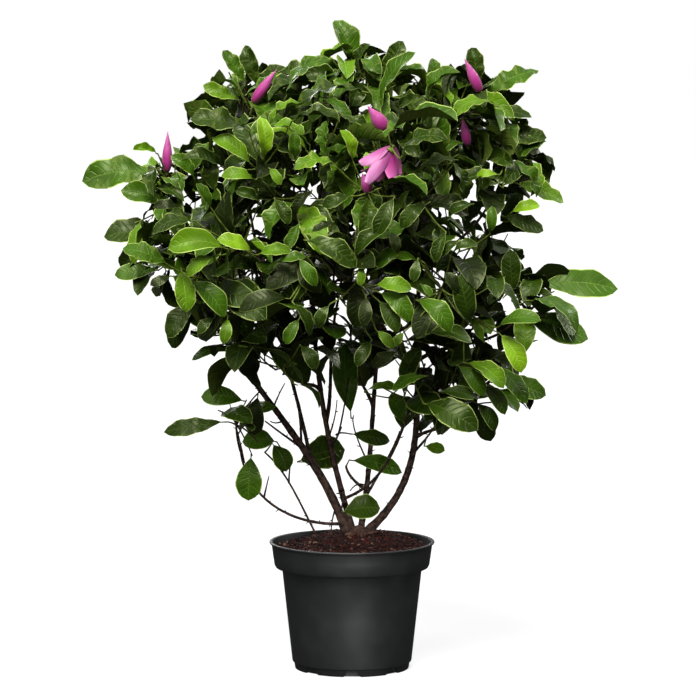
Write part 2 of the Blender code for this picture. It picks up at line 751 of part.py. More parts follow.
def soil_shape(raised=0.0):
    """The fill of the pot, heaped up to a flat place under the root crown."""
    soil_top = POT_HEIGHT - SOIL_BELOW_LIP
    profile = list(reversed(inside_of_pot(GAP)))
    rim_radius = profile[-2][0] + (profile[-1][0] - profile[-2][0]) * 0.82
    profile[-1] = (rim_radius, soil_top + raised)
    corners, faces = turned(profile, POT_SIDES)
    ring = list(range(len(corners) - POT_SIDES, len(corners)))
    for k in range(1, SOIL_RINGS + 1):
        share = k / SOIL_RINGS
        radius = rim_radius + (MOUND_RADIUS - rim_radius) * share
        height = soil_top + raised + MOUND_HEIGHT * (1 - math.cos(math.pi * share)) / 2
        start = len(corners)
        for i in range(POT_SIDES):
            turn = 2 * math.pi * i / POT_SIDES
            across_x = CROWN_X * share + radius * math.cos(turn)
            across_y = CROWN_Y * share + radius * math.sin(turn)
            corners.append(at((across_x, across_y, height)))
        inner = list(range(start, start + POT_SIDES))
        for i in range(POT_SIDES):
            j = (i + 1) % POT_SIDES
            faces.append((ring[i], inner[i], inner[j], ring[j]))
        ring = inner
    faces.append(tuple(ring))
    return corners, faces


def crown_shape(wider=0.0):
    """The root crown: a low flared stump with a flat cut at the soil."""
    ground = POT_HEIGHT - SOIL_BELOW_LIP + MOUND_HEIGHT + GAP
    profile = [
        (0, ground - wider),
        (CROWN_RADIUS + wider, ground - wider),
        (CROWN_RADIUS * 0.9 + wider, ground + CROWN_HEIGHT * 0.22 + wider),
        (CROWN_RADIUS * 0.72 + wider, ground + CROWN_HEIGHT * 0.6 + wider),
        (CROWN_RADIUS * 0.45 + wider, ground + CROWN_HEIGHT * 0.9 + wider),
        (0, ground + CROWN_HEIGHT + wider),
    ]
    return turned(profile, CROWN_SIDES, (CROWN_X, CROWN_Y), 0.08)


def main():
    """Builds the whole plant."""
    clear_scene()
    plastic = finish("pot_plastic", (0.02, 0.02, 0.022), 0.45)
    peat = finish("peat", (0.07, 0.025, 0.015), 0.95)
    bark = finish("bark", (0.06, 0.035, 0.028), 0.85)
    green = finish("leaf_green", (0.06, 0.17, 0.03), 0.4)
    make_pot(plastic)
    add_object("soil", soil_shape(), peat)
    add_object("root_crown", crown_shape(), bark)
    masses = [Mass(name) for name in MASSES]
    for mass in masses:
        mass.all_masses = masses
    limbs = grow_limbs(masses)
    for name, limb in limbs.items():
        piece = add_object(name, limb.solid(), bark)
        parent = LIMBS[name][0]
        room = [limbs[parent].solid(GAP)] if parent else []
        if limb.route[0].z < LOW * MM:
            room += [crown_shape(GAP), soil_shape(GAP)]
        for shape in room:
            cut(piece, [add_object("room", shape)])
    stems = {mass.name: mass_stem(mass, limbs) for mass in masses}
    fixed = [limb.solid(LIMB_CLEAR) for limb in limbs.values()]
    fixed += [crown_shape(LIMB_CLEAR), soil_shape(LIMB_CLEAR)]
    for seed, mass in enumerate(masses, 1):
        stem = stems[mass.name]
        near = [other.solid(LIMB_CLEAR) for name, other in stems.items() if name != mass.name]
        obstacles = tree_of(fixed + near)
        stem_shape, twigs, leaves = grow_mass(mass, stem, seed, obstacles)
        piece = add_object("foliage_" + mass.name, stem_shape, green)
        parts = [add_object("part", shape) for shape in twigs + leaves]
        fuse(piece, parts)
        if mass.side_share is not None:
            cut(piece, [add_object("room", limbs[mass.carrier].solid(GAP))])
        print(piece.name, len(twigs), "twigs", len(leaves), "leaves and blossoms")


main()
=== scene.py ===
# %% [markdown]
# # A potted magnolia shrub
# A young magnolia as a nursery sells it: several thin stems rise from one root crown in a black
# pot and carry a dense crown of glossy leaves with a few magenta buds. The solids that fix its
# size are loaded first and are never moved. Everything after that is made around them.

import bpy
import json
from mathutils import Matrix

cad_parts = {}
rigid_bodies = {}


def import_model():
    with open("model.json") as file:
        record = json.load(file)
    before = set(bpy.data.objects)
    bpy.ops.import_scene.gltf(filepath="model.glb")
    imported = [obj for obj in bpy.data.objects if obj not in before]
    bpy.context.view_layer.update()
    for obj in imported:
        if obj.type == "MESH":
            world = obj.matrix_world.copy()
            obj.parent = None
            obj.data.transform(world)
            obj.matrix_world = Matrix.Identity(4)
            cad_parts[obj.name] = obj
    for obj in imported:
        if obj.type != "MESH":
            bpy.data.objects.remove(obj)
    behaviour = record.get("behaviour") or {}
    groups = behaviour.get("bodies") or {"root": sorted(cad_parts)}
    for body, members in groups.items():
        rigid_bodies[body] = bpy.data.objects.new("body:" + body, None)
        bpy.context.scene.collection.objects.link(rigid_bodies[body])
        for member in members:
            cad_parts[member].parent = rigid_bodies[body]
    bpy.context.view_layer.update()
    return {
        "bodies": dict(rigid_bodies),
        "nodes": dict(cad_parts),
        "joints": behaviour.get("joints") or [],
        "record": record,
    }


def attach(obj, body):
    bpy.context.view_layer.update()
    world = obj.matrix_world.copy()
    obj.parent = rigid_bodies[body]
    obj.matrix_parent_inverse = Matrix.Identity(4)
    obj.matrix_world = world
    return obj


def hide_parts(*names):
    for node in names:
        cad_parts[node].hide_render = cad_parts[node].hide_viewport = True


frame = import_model()

# %% Modules
import json
import math
import random

import bpy
import numpy as np
from mathutils import Matrix, Vector, noise
from mathutils.bvhtree import BVHTree

# %% [markdown]
# ## Units and small helpers
# The frame is in metres, and a gardener measures a shrub in millimetres, so sizes are written
# in millimetres and turned to metres where a mesh is made. Operators act on whatever is selected,
# so one helper clears the selection before each new primitive.

# %% Units and helpers
MM = 0.001
UP = Vector((0, 0, 1))
DOWN = Vector((0, 0, -1))
GOLDEN_ANGLE = math.radians(137.508)
PATTERN_MAP = "OFBake"  # the name of each piece's own map


def at(place):
    """A place in millimetres as a vector in metres."""
    return Vector(place) * MM


def start_fresh():
    """Leaves edit mode and deselects everything, so that an operator meets only the new piece."""
    if bpy.context.object and bpy.context.object.mode != "OBJECT":
        bpy.ops.object.mode_set(mode="OBJECT")
    bpy.ops.object.select_all(action="DESELECT")


def apply_modifiers(piece):
    """Applies a piece's modifiers from first to last."""
    start_fresh()
    piece.select_set(True)
    bpy.context.view_layer.objects.active = piece
    for modifier in list(piece.modifiers):
        bpy.ops.object.modifier_apply(modifier=modifier.name)


def select_top(piece):
    """Opens edit mode with only those faces selected that look up."""
    bpy.ops.object.mode_set(mode="EDIT")
    bpy.ops.mesh.select_mode(type="FACE")
    bpy.ops.mesh.select_all(action="DESELECT")
    bpy.ops.object.mode_set(mode="OBJECT")
    for face in piece.data.polygons:
        face.select = face.normal.z > 0.9
    bpy.ops.object.mode_set(mode="EDIT")


def smooth(piece, angle):
    """Shades a piece smooth, apart from edges sharper than an angle in degrees."""
    piece.data.shade_smooth()
    piece.data.set_sharp_from_angle(angle=math.radians(angle))


def join_shapes(name, shapes, finishes, slots=None, maps=None):
    """One mesh object from many (corners, faces) shapes, with a finish and a map for each shape."""
    corners, faces, finish_of, places = [], [], [], []
    for number, (more_corners, more_faces) in enumerate(shapes):
        start = len(corners)
        corners.extend(more_corners)
        faces.extend([tuple(start + i for i in face) for face in more_faces])
        finish_of.extend([slots[number] if slots else 0] * len(more_faces))
        if maps:
            places.extend(maps[number])
    mesh = bpy.data.meshes.new(name)
    mesh.from_pydata(corners, [], faces)
    for finish in finishes:
        mesh.materials.append(finish)
    mesh.polygons.foreach_set("material_index", finish_of)
    if maps:
        layer = mesh.uv_layers.new(name=PATTERN_MAP)
        layer.data.foreach_set("uv", np.array(places, np.float32).ravel())
    mesh.update()
    piece = bpy.data.objects.new(name, mesh)
    bpy.context.scene.collection.objects.link(piece)
    return piece


def hand_over(piece, nodes=()):
    """A finished piece moves with the plant, and stands for its solids."""
    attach(piece, "root")
    if nodes:
        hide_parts(*nodes)
    piece.data.calc_loop_triangles()
    print(piece.name, len(piece.data.loop_triangles), "triangles")


# %% [markdown]
# ## Finishes
# Each finish starts from what the real surface is. It could be a photograph wrapped round the
# piece, but nodes that draw a pattern at its real size stay sharp from near and have no seams.
# Colours are picked as sRGB hex values, as a paint chart gives them, and one function turns them
# to the linear values that a shader needs.

# %% Helpers for finishes
def linear(chart_colour):
    """An sRGB hex colour as linear red, green, blue and alpha."""
    shares = [int(chart_colour[i : i + 2], 16) / 255 for i in (1, 3, 5)]
    return tuple(s / 12.92 if s <= 0.04045 else ((s + 0.055) / 1.055) ** 2.4 for s in shares) + (1.0,)


def set_inputs(tree, node, inputs):
    """Sets or links the inputs of a node, by name or number."""
    for socket, value in inputs.items():
        if isinstance(value, bpy.types.NodeSocket):
            tree.links.new(value, node.inputs[socket])
        else:
            node.inputs[socket].default_value = value


def add_node(tree, kind, inputs, output=0, **settings):
    """Adds a node with its settings and links, and gives one of its outputs, by name or number."""
    node = tree.nodes.new("ShaderNode" + kind)
    for name, value in settings.items():
        setattr(node, name, value)
    set_inputs(tree, node, inputs)
    return node.outputs[output]


def new_finish(name, inputs):
    """A material with the plain values of its shader set."""
    material = bpy.data.materials.new(name)
    material.use_nodes = True
    shader = material.node_tree.nodes["Principled BSDF"]
    set_inputs(material.node_tree, shader, inputs)
    return material, material.node_tree, shader


# %% [markdown]
# ## Camera and light
# The photograph was taken from far away with a long lens, a little above the crown's middle, so
# the pot's lip shows as a narrow ellipse. Its plant is cut out on pure white and lit softly from
# high in front: leaf tops shine, leaves below them are nearly black, and the pot goes black at
# its sides. One huge soft box could give the softness, but would light the pot's sides too. So a
# softened sun gives the main light, narrow soft boxes touch the pot and the crown's edges, and
# the plant stands in a dark room that shows white.

# %% Camera
CAMERA_PLACE = (-0.0067, -6.0, 1.113)
CAMERA_DOWN = 5.417  # degrees below the level
PHOTO_WIDTH = 696
FOCAL_PIXELS = 3578

camera_data = bpy.data.cameras.new("camera")
camera_data.sensor_width = 36.0
camera_data.lens = FOCAL_PIXELS / PHOTO_WIDTH * camera_data.sensor_width
camera = bpy.data.objects.new("camera", camera_data)
camera.location = CAMERA_PLACE
camera.rotation_euler = (math.radians(90 - CAMERA_DOWN), 0, 0)
bpy.context.scene.collection.objects.link(camera)
bpy.context.scene.camera = camera
print("lens", round(camera_data.lens, 1), "mm")

# %% Where a pixel looks, and where a place shows
CAMERA_TILT = math.radians(CAMERA_DOWN)
VIEWER = Vector(CAMERA_PLACE)


def ray_of(pixel):
    """The way the camera looks through a pixel of the photograph."""
    x = (pixel[0] - PHOTO_WIDTH / 2) / FOCAL_PIXELS
    z = (PHOTO_WIDTH / 2 - pixel[1]) / FOCAL_PIXELS
    ahead = Vector((0, math.cos(CAMERA_TILT), -math.sin(CAMERA_TILT)))
    above = Vector((0, math.sin(CAMERA_TILT), math.cos(CAMERA_TILT)))
    return (ahead + above * z + Vector((x, 0, 0))).normalized()


def pixels_of(places):
    """The pixels where some places show, and how far ahead of the camera they are."""
    off = np.asarray(places) - np.array(CAMERA_PLACE)
    depth = off[:, 1] * math.cos(CAMERA_TILT) - off[:, 2] * math.sin(CAMERA_TILT)
    height = off[:, 1] * math.sin(CAMERA_TILT) + off[:, 2] * math.cos(CAMERA_TILT)
    x = PHOTO_WIDTH / 2 + FOCAL_PIXELS * off[:, 0] / depth
    y = PHOTO_WIDTH / 2 - FOCAL_PIXELS * height / depth
    return np.stack([x, y], axis=1), depth


# %% Light
SUN_TURN = (36, -8, 0)  # degrees: high, from the front and a little from the left
SUN_SOFTNESS = 30  # degrees that the sun seems wide, as a large diffuser does
SUN_STRENGTH = 5.0
CEILING_LIGHT = 0.66
WALL_LIGHT = 0.06
BACKDROP = 1.0

# name: place, what it aims at, width, height, watts, and how wide in degrees its grid lets it shine
SOFT_BOXES = {
    "pot_light": ((0.3, -3.4, 0.3), (0.0, 0.0, 0.13), 0.35, 0.25, 0.5, 11),
    "left_box": ((-2.6, -2.4, 2.2), (0.0, 0.0, 0.88), 1.4, 1.4, 2.3, 26),
    "right_rim": ((2.5, 1.2, 2.6), (0.0, 0.0, 0.88), 1.2, 1.2, 1.9, 26),
    "back_box": ((-1.0, 3.2, 2.2), (0.0, 0.0, 0.6), 1.6, 1.6, 9.0, 60),
}

sun_data = bpy.data.lights.new("diffused_sun", "SUN")
sun_data.energy = SUN_STRENGTH
sun_data.angle = math.radians(SUN_SOFTNESS)
sun = bpy.data.objects.new("diffused_sun", sun_data)
sun.rotation_euler = [math.radians(turn) for turn in SUN_TURN]
bpy.context.scene.collection.objects.link(sun)
for name, (place, aim, width, height, watts, spread) in SOFT_BOXES.items():
    box = bpy.data.lights.new(name, "AREA")
    box.shape = "RECTANGLE"
    box.size = width
    box.size_y = height
    box.energy = watts
    box.spread = math.radians(spread)
    lamp = bpy.data.objects.new(name, box)
    lamp.location = place
    lamp.rotation_euler = (Vector(aim) - Vector(place)).to_track_quat("-Z", "Y").to_euler()
    bpy.context.scene.collection.objects.link(lamp)

# %% Room
# the backdrop shows white, but the plant stands in a dark room under a broad pale ceiling
world = bpy.data.worlds.new("studio")
world.use_nodes = True
studio = world.node_tree
way = add_node(studio, "TexCoord", {}, "Generated")
rise = add_node(studio, "SeparateXYZ", {0: way}, "Z")
walls = {"Value": rise, "From Min": 0.1, "From Max": 0.9, "To Min": WALL_LIGHT, "To Max": CEILING_LIGHT}
room = add_node(studio, "MapRange", walls, interpolation_type="SMOOTHSTEP")
shown = add_node(studio, "LightPath", {}, "Is Camera Ray")
glow = add_node(studio, "Mix", {0: shown, 2: room, 3: BACKDROP}, data_type="FLOAT")
set_inputs(studio, studio.nodes["Background"], {"Color": (1, 1, 1, 1), "Strength": glow})
bpy.context.scene.world = world
bpy.context.scene.view_settings.view_transform = "Standard"
print("lights:", len(SOFT_BOXES) + 1)

# %% [markdown]
# ### Moulded polypropylene of the pot
# Nursery pots are injection moulded from black recycled polypropylene: a dull sheen, a faint
# grain from the mould, and paler scuffs and dust. IOR 1.49. One flat black would look like paint,
# so one noise makes the scuffs, in tone and in gloss, and a finer one the grain as a bump.

# %% Pot finish
MOULD_GRAIN = 1.1  # mm, drawn about twice as coarse as it is, so that it shows
GRAIN_DEPTH = 0.15  # mm
SCUFF_SIZE = 38.0  # mm

plastic = {"Roughness": 0.5, "IOR": 1.49, "Specular IOR Level": 0.42}
pot_finish, tree, shader = new_finish("moulded_polypropylene", plastic)
spot = add_node(tree, "TexCoord", {}, "Object")
scuffs = add_node(tree, "TexNoise", {"Vector": spot, "Scale": 1 / (SCUFF_SIZE * MM), "Detail": 5.0})
grain = add_node(tree, "TexNoise", {"Vector": spot, "Scale": 1 / (MOULD_GRAIN * MM), "Detail": 2.0})
worn = add_node(tree, "MapRange", {"Value": scuffs, "From Min": 0.45, "From Max": 0.8})
tone = add_node(tree, "Mix", {0: worn, 6: linear("#151616"), 7: linear("#1d1e1e")}, 2, data_type="RGBA")
rubbed = {"Value": scuffs, "From Min": 0.3, "From Max": 0.75, "To Min": 0.47, "To Max": 0.54}
gloss = add_node(tree, "MapRange", rubbed)
bump = add_node(tree, "Bump", {"Height": grain, "Strength": 0.35, "Distance": GRAIN_DEPTH * MM})
set_inputs(tree, shader, {"Base Color": tone, "Roughness": gloss, "Normal": bump})
print("nodes of the pot's finish:", len(tree.nodes))

# %% [markdown]
# ### Bark and peat, bark of the stems, green shoots
# The fill is shredded bark and peat: matt, red-brown, with paler chips. The stems' bark is thin
# and smooth, dark grey-brown, with small pale pores. This year's shoots are still green. All of
# them scatter light evenly, so they are rough and hardly shine. They differ only in their tones
# and in the size of their patches, so one function makes them all.

# %% Rough natural finishes
def make_mottled_finish(name, dark, light, size, roughness, relief):
    """A matt natural surface: two tones in patches of a size, and a fine relief, in millimetres."""
    dry = {"Roughness": roughness, "IOR": 1.45, "Specular IOR Level": 0.25}
    material, tree, shader = new_finish(name, dry)
    spot = add_node(tree, "TexCoord", {}, "Object")
    patches = add_node(tree, "TexNoise", {"Vector": spot, "Scale": 1 / (size * MM), "Detail": 6.0})
    fine = add_node(tree, "TexNoise", {"Vector": spot, "Scale": 4 / (size * MM), "Detail": 3.0})
    share = add_node(tree, "MapRange", {"Value": patches, "From Min": 0.38, "From Max": 0.66})
    tone = add_node(tree, "Mix", {0: share, 6: linear(dark), 7: linear(light)}, 2, data_type="RGBA")
    bump = add_node(tree, "Bump", {"Height": fine, "Strength": 0.7, "Distance": relief * MM})
    set_inputs(tree, shader, {"Base Color": tone, "Normal": bump})
    return material


peat_finish = make_mottled_finish("peat", "#100302", "#240c06", 6.0, 0.95, 1.0)
chip_finishes = [
    make_mottled_finish("bark_chip_dark", "#140402", "#240b06", 4.0, 0.9, 0.4),
    make_mottled_finish("bark_chip_red", "#2c0c06", "#48170d", 4.0, 0.85, 0.4),
    make_mottled_finish("bark_chip_pale", "#5a3a2e", "#80604f", 4.0, 0.8, 0.3),
]
bark_finish = make_mottled_finish("smooth_magnolia_bark", "#100a08", "#4e382e", 7.0, 0.66, 0.8)
stool_finish = make_mottled_finish("fibrous_stool_bark", "#35241d", "#6a4c40", 5.0, 0.9, 0.8)
shoot_finish = make_mottled_finish("green_shoot", "#414f16", "#6f7d2c", 9.0, 0.6, 0.15)
twig_finish = make_mottled_finish("twig_bark", "#1e1511", "#43332a", 6.0, 0.75, 0.25)
print("finishes so far:", len(bpy.data.materials))

# %% [markdown]
# ### Leaf blades
# A magnolia leaf is leathery. Its upper face has a wax layer that mirrors the soft boxes as
# grey-white patches, its sunk veins run forward from the midrib, and its margin is a thin pale
# line, drawn paler still as a painted highlight where the rim catches the light. The lower face
# is matt and paler. Modelled veins would cost millions of faces on a thousand leaves, so they
# are drawn. The pattern lies on the blade's own map: along it from foot to tip, across it from
# edge to edge, with the upper face in the map's upper half.

# %% Pattern of a leaf
SIDE_VEINS = 9.0
VEIN_FORWARD = 0.17  # how far towards the tip a side vein runs, as a share of the length
# each step: the name of its result, what is done, and with what. A smooth step has the two values
# that it rises between, and then its low and high end where they aren't 0 and 1
LEAF_STEPS = (
    ("above", "GREATER_THAN", "across", 0.5),
    ("doubled", "MULTIPLY", "across", 2.0),
    ("width", "FRACT", "doubled"),
    ("signed", "MULTIPLY_ADD", "width", 2.0, -1.0),  # from -1 at one edge to 1 at the other
    ("out", "ABSOLUTE", "signed"),
    ("bent", "POWER", "out", 1.3),
    ("root", "MULTIPLY_ADD", "bent", -VEIN_FORWARD, "along"),
    ("right", "GREATER_THAN", "signed", 0.0),
    ("later", "MULTIPLY", "right", 0.5),  # the veins of one half start half a step later
    ("count", "MULTIPLY_ADD", "root", SIDE_VEINS, "later"),
    ("step", "FRACT", "count"),
    ("middle", "SUBTRACT", "step", 0.5),
    ("off_vein", "ABSOLUTE", "middle"),
    ("line", "SMOOTHSTEP", "off_vein", 0.16, 0.02),
    ("fade", "SMOOTHSTEP", "out", 0.9, 0.55),
    ("side_vein", "MULTIPLY", "line", "fade"),
    ("faint", "MULTIPLY", "side_vein", 0.45),
    ("midrib", "SMOOTHSTEP", "out", 0.075, 0.02),
    ("veins", "MAXIMUM", "faint", "midrib"),
    ("veins_above", "MULTIPLY", "veins", 0.42),
    ("veins_below", "MULTIPLY", "veins", 0.6),
    # the pale margin line, painted paler as a highlight where the rim catches the light
    ("edge", "SMOOTHSTEP", "out", 0.9, 0.96, 0.0, 0.85),
    ("cloud", "SMOOTHSTEP", "puffs", 0.4, 0.65, 0.0, 0.6),
    ("raised", "ADD", "veins", "side_vein"),
    ("sunk", "MULTIPLY", "raised", -1.0),
)
print("steps of a leaf's pattern:", len(LEAF_STEPS))

# %% Leaf finish
VEIN_RELIEF = 0.9  # mm
LEAF_CLOUD = 34.0  # mm, the size of darker patches on a blade
WAX_TINT = "#dde6b0"  # the wax is faintly yellow, and so is what it mirrors


def make_leaf_finish(name, lamina, vein, margin_and_rim_light, under, gloss):
    """One green of leaf: lamina, veins, and a pale margin with a painted rim highlight above, and a matt
    face below.
    """
    wax = {"Roughness": gloss, "IOR": 1.46, "Specular IOR Level": 0.36, "Specular Tint": linear(WAX_TINT)}
    material, tree, shader = new_finish(name, wax)
    place = add_node(tree, "UVMap", {}, uv_map=PATTERN_MAP)
    spot = add_node(tree, "TexCoord", {}, "Object")
    cloud = {"Vector": spot, "Scale": 1 / (LEAF_CLOUD * MM), "Detail": 2.0}
    known = {
        "along": add_node(tree, "SeparateXYZ", {0: place}, "X"),
        "across": add_node(tree, "SeparateXYZ", {0: place}, "Y"),
        "puffs": add_node(tree, "TexNoise", cloud),
    }
    for result, what, *terms in LEAF_STEPS:
        inputs = {number: known.get(term, term) for number, term in enumerate(terms)}
        if what == "SMOOTHSTEP":
            known[result] = add_node(tree, "MapRange", inputs, interpolation_type=what)
        else:
            known[result] = add_node(tree, "Math", inputs, operation=what)
    dark = tuple(0.5 * share for share in linear(lamina)[:3]) + (1.0,)
    top = linear(lamina)
    for cover, colour in (("cloud", dark), ("veins_above", linear(vein)), ("edge", linear(margin_and_rim_light))):
        top = add_node(tree, "Mix", {0: known[cover], 6: top, 7: colour}, 2, data_type="RGBA")
    colours = {0: known["veins_below"], 6: linear(under), 7: linear(vein)}
    low = add_node(tree, "Mix", colours, 2, data_type="RGBA")
    tone = add_node(tree, "Mix", {0: known["above"], 6: low, 7: top}, 2, data_type="RGBA")
    dull = add_node(tree, "MapRange", {"Value": known["above"], "To Min": 0.62, "To Max": gloss})
    relief = {"Height": known["sunk"], "Strength": 0.5, "Distance": VEIN_RELIEF * MM}
    bump = add_node(tree, "Bump", relief)
    set_inputs(tree, shader, {"Base Color": tone, "Roughness": dull, "Normal": bump})
    return material


# name: lamina, veins, margin with its painted rim highlight, lower face, roughness of the upper face
LEAF_GREENS = {
    "leaves_shaded": ("#182306", "#333f14", "#5d6c2c", "#28330e", 0.38),
    "leaves_deep": ("#263a07", "#48601a", "#98a95c", "#3f4e15", 0.33),
    "leaves_full": ("#38590a", "#5f8126", "#abc064", "#536722", 0.34),
    "leaves_fresh": ("#54790e", "#7f9f32", "#bdd06a", "#6c8030", 0.37),
    "leaves_young": ("#769f15", "#a0bf44", "#d0e080", "#88983e", 0.4),
}
leaf_finishes = {name: make_leaf_finish(name, *greens) for name, greens in LEAF_GREENS.items()}
print("greens of leaves:", len(leaf_finishes))

# %% [markdown]
# ### Petals
# Magnolia petals are fleshy and slightly satin. They are darkest at the foot, where they leave
# the twig, and fade towards the tip, with fine lengthwise streaks. Two ramps along the petal's
# map make the fade, and a noise stretched along it makes the streaks.

# %% Petal finish
PETAL_STREAKS = 26.0  # streaks side by side across a petal
STREAK_DEPTH = 0.5  # mm


def make_petal_finish(name, foot, middle, tip):
    """A satin petal that fades from its foot to its tip, with lengthwise streaks."""
    material, tree, shader = new_finish(name, {"Roughness": 0.42, "IOR": 1.42, "Sheen Weight": 0.15})
    place = add_node(tree, "UVMap", {}, uv_map=PATTERN_MAP)
    along = add_node(tree, "SeparateXYZ", {0: place}, "X")
    low = add_node(tree, "MapRange", {0: along, 1: 0.0, 2: 0.3})
    high = add_node(tree, "MapRange", {0: along, 1: 0.35, 2: 1.0})
    stretched = add_node(tree, "Mapping", {"Vector": place, "Scale": (2.0, PETAL_STREAKS, 1.0)})
    streaks = add_node(tree, "TexNoise", {"Vector": stretched, "Scale": 1.0, "Detail": 3.0})
    lines = add_node(tree, "MapRange", {0: streaks, 1: 0.5, 2: 0.75, 4: 0.4})
    tone = linear(foot)
    for share, colour in ((low, middle), (high, tip), (lines, foot)):
        tone = add_node(tree, "Mix", {0: share, 6: tone, 7: linear(colour)}, 2, data_type="RGBA")
    bump = add_node(tree, "Bump", {"Height": streaks, "Strength": 0.5, "Distance": STREAK_DEPTH * MM})
    set_inputs(tree, shader, {"Base Color": tone, "Normal": bump})
    return material


bud_finish = make_petal_finish("magenta_bud_petal", "#75144c", "#a52d7c", "#c4609f")
open_finish = make_petal_finish("open_pink_petal", "#7f2661", "#a84b88", "#c581b0")
print("finishes of the petals:", bud_finish.name, "and", open_finish.name)

# %% [markdown]
# ## The pot
# A nursery pot is one moulded shell: a tapered body, a wide collar that stiffens the rim, a thin
# lip, and a notched foot that lets water out. Its outline could be spun round the axis. Here it
# is raised from a disc, as on a wheel, so that its wall is closed from the start: the face is
# extruded and scaled from ring to ring, up the outside and down the inside.

# %% Pot
POT_SIDES = 128
# radius and height of each ring
POT_OUTSIDE = [
    (30, 0), (32, 3), (84, 3), (86, 0), (96, 0), (97, 1.2), (98.4, 11.4), (100.8, 12.4),
    (101.3, 14.2), (109.8, 92), (118.3, 169), (119.6, 171), (124, 171.4), (129, 172.8),
    (131.2, 176.5), (134, 195), (136.2, 212.4), (139.4, 213.4), (140, 214.6), (139.4, 216),
]
POT_INSIDE = [(134.4, 216), (133.4, 214.6), (128.5, 175), (126, 173), (116.5, 172.4), (115, 170), (99, 17)]
FOOT_RADIUS = 98.0
MOULD_RADIUS = 0.5  # the mould's edges aren't sharp


def raise_on_wheel(name, rings, sides):
    """A round body raised from a disc through rings of (radius, height), in millimetres."""
    start_fresh()
    radius, height = rings[0]
    bpy.ops.mesh.primitive_circle_add(
        vertices=sides, radius=radius * MM, fill_type="NGON", location=(0, 0, height * MM)
    )
    piece = bpy.context.object
    piece.name = name
    bpy.ops.object.transform_apply()
    bpy.ops.object.mode_set(mode="EDIT")
    for wide, high in rings[1:]:
        bpy.ops.mesh.extrude_region_move(TRANSFORM_OT_translate={"value": (0, 0, (high - height) * MM)})
        grow = wide / radius
        bpy.ops.transform.resize(value=(grow, grow, 1), center_override=(0, 0, high * MM))
        radius, height = wide, high
    bpy.ops.mesh.select_all(action="SELECT")
    bpy.ops.mesh.normals_make_consistent(inside=False)
    bpy.ops.object.mode_set(mode="OBJECT")
    return piece


pot = raise_on_wheel("pot_shell", POT_OUTSIDE + POT_INSIDE, POT_SIDES)
print("corners of the turned pot:", len(pot.data.vertices))

# %% Drain notches
NOTCHES = 8
NOTCH_LOW, NOTCH_HIGH = 31.0, 19.0  # widths at the notch's bottom and top
NOTCH_HEIGHT, NOTCH_DEPTH, NOTCH_ROUNDING = 11.0, 9.0, 2.2
CUT_OUTSIDE, CUT_BELOW = 12.0, 2.0  # how far the cutting block reaches past the foot


def notch_cutter():
    """The block that cuts a drain notch out of the foot: a cube, narrowed at its top and rounded."""
    start_fresh()
    bpy.ops.mesh.primitive_cube_add(size=1, location=(0, 0, 0))
    block = bpy.context.object
    block.scale = ((NOTCH_DEPTH + CUT_OUTSIDE) * MM, NOTCH_LOW * MM, (NOTCH_HEIGHT + CUT_BELOW) * MM)
    bpy.ops.object.transform_apply()
    select_top(block)
    bpy.ops.transform.resize(value=(1, NOTCH_HIGH / NOTCH_LOW, 1))
    bpy.ops.object.mode_set(mode="OBJECT")
    rounding = block.modifiers.new("rounding", "BEVEL")
    rounding.width = NOTCH_ROUNDING * MM
    rounding.segments = 3
    apply_modifiers(block)
    return block


def copy_round(block, turn, holder):
    """A copy of the block with its own mesh, at a turn round the foot, in a collection."""
    copy = block.copy()
    copy.data = block.data.copy()
    holder.objects.link(copy)
    start_fresh()
    copy.select_set(True)
    bpy.context.view_layer.objects.active = copy
    out = Vector((math.cos(turn), math.sin(turn), 0))
    reach = FOOT_RADIUS - NOTCH_DEPTH / 2 + CUT_OUTSIDE / 2
    copy.location = out * reach * MM + UP * (NOTCH_HEIGHT - CUT_BELOW) / 2 * MM
    copy.rotation_euler = (0, 0, turn)
    bpy.ops.object.transform_apply()


cutters = bpy.data.collections.new("notch_cutters")
bpy.context.scene.collection.children.link(cutters)
block = notch_cutter()
for number in range(NOTCHES):
    copy_round(block, 2 * math.pi * number / NOTCHES - math.pi / 2, cutters)
cutting = pot.modifiers.new("notches", "BOOLEAN")
cutting.operation = "DIFFERENCE"
cutting.operand_type = "COLLECTION"
cutting.collection = cutters
apply_modifiers(pot)
for used in [block, *cutters.objects]:
    bpy.data.objects.remove(used, do_unlink=True)
bpy.data.collections.remove(cutters)
print("corners with the notches cut:", len(pot.data.vertices))

# %% Soft edges of the mould
softening = pot.modifiers.new("mould_radius", "BEVEL")
softening.width = MOULD_RADIUS * MM
softening.segments = 2
softening.limit_method = "ANGLE"
softening.angle_limit = math.radians(40)
apply_modifiers(pot)
smooth(pot, 35)
pot.data.materials.append(pot_finish)
hand_over(pot, ["pot"])

# %% [markdown]
# ## The fill
# The pot is filled nearly to its rim with bark and peat, heaped a little round the root crown.
# A disc is inset into rings, the rings are lifted into the heap, and a few thousand chips of
# bark are strewn on it as one joined mesh, because a pattern alone would look painted on.

# %% Heap of peat
SOIL_LEVEL, SOIL_RIM = 206.0, 131.0
SOIL_BODY = [(98, 18.5), (114, 168), (127, 176), (SOIL_RIM, SOIL_LEVEL)]
MOUND_HEIGHT, MOUND_RADIUS, MOUND_FOOT = 16.0, 39.0, 118.0
CROWN_X, CROWN_Y = 11.0, 45.0  # the middle of the root crown
HEAP_RINGS = 26
LUMPS = ((14.0, 1.6, 0), (4.0, 0.9, 9))  # size and height of lumps, and a slice of noise for each


def heap_height(x, y):
    """The height of the fill at a place, all in millimetres: level at the rim, up at the crown."""
    off = math.hypot(x - CROWN_X, y - CROWN_Y)
    share = min(max((MOUND_FOOT - off) / (MOUND_FOOT - MOUND_RADIUS), 0.0), 1.0)
    lump = sum(noise.noise(Vector((x, y, layer)) / size) * height for size, height, layer in LUMPS)
    return SOIL_LEVEL + MOUND_HEIGHT * (1 - math.cos(math.pi * share)) / 2 + lump


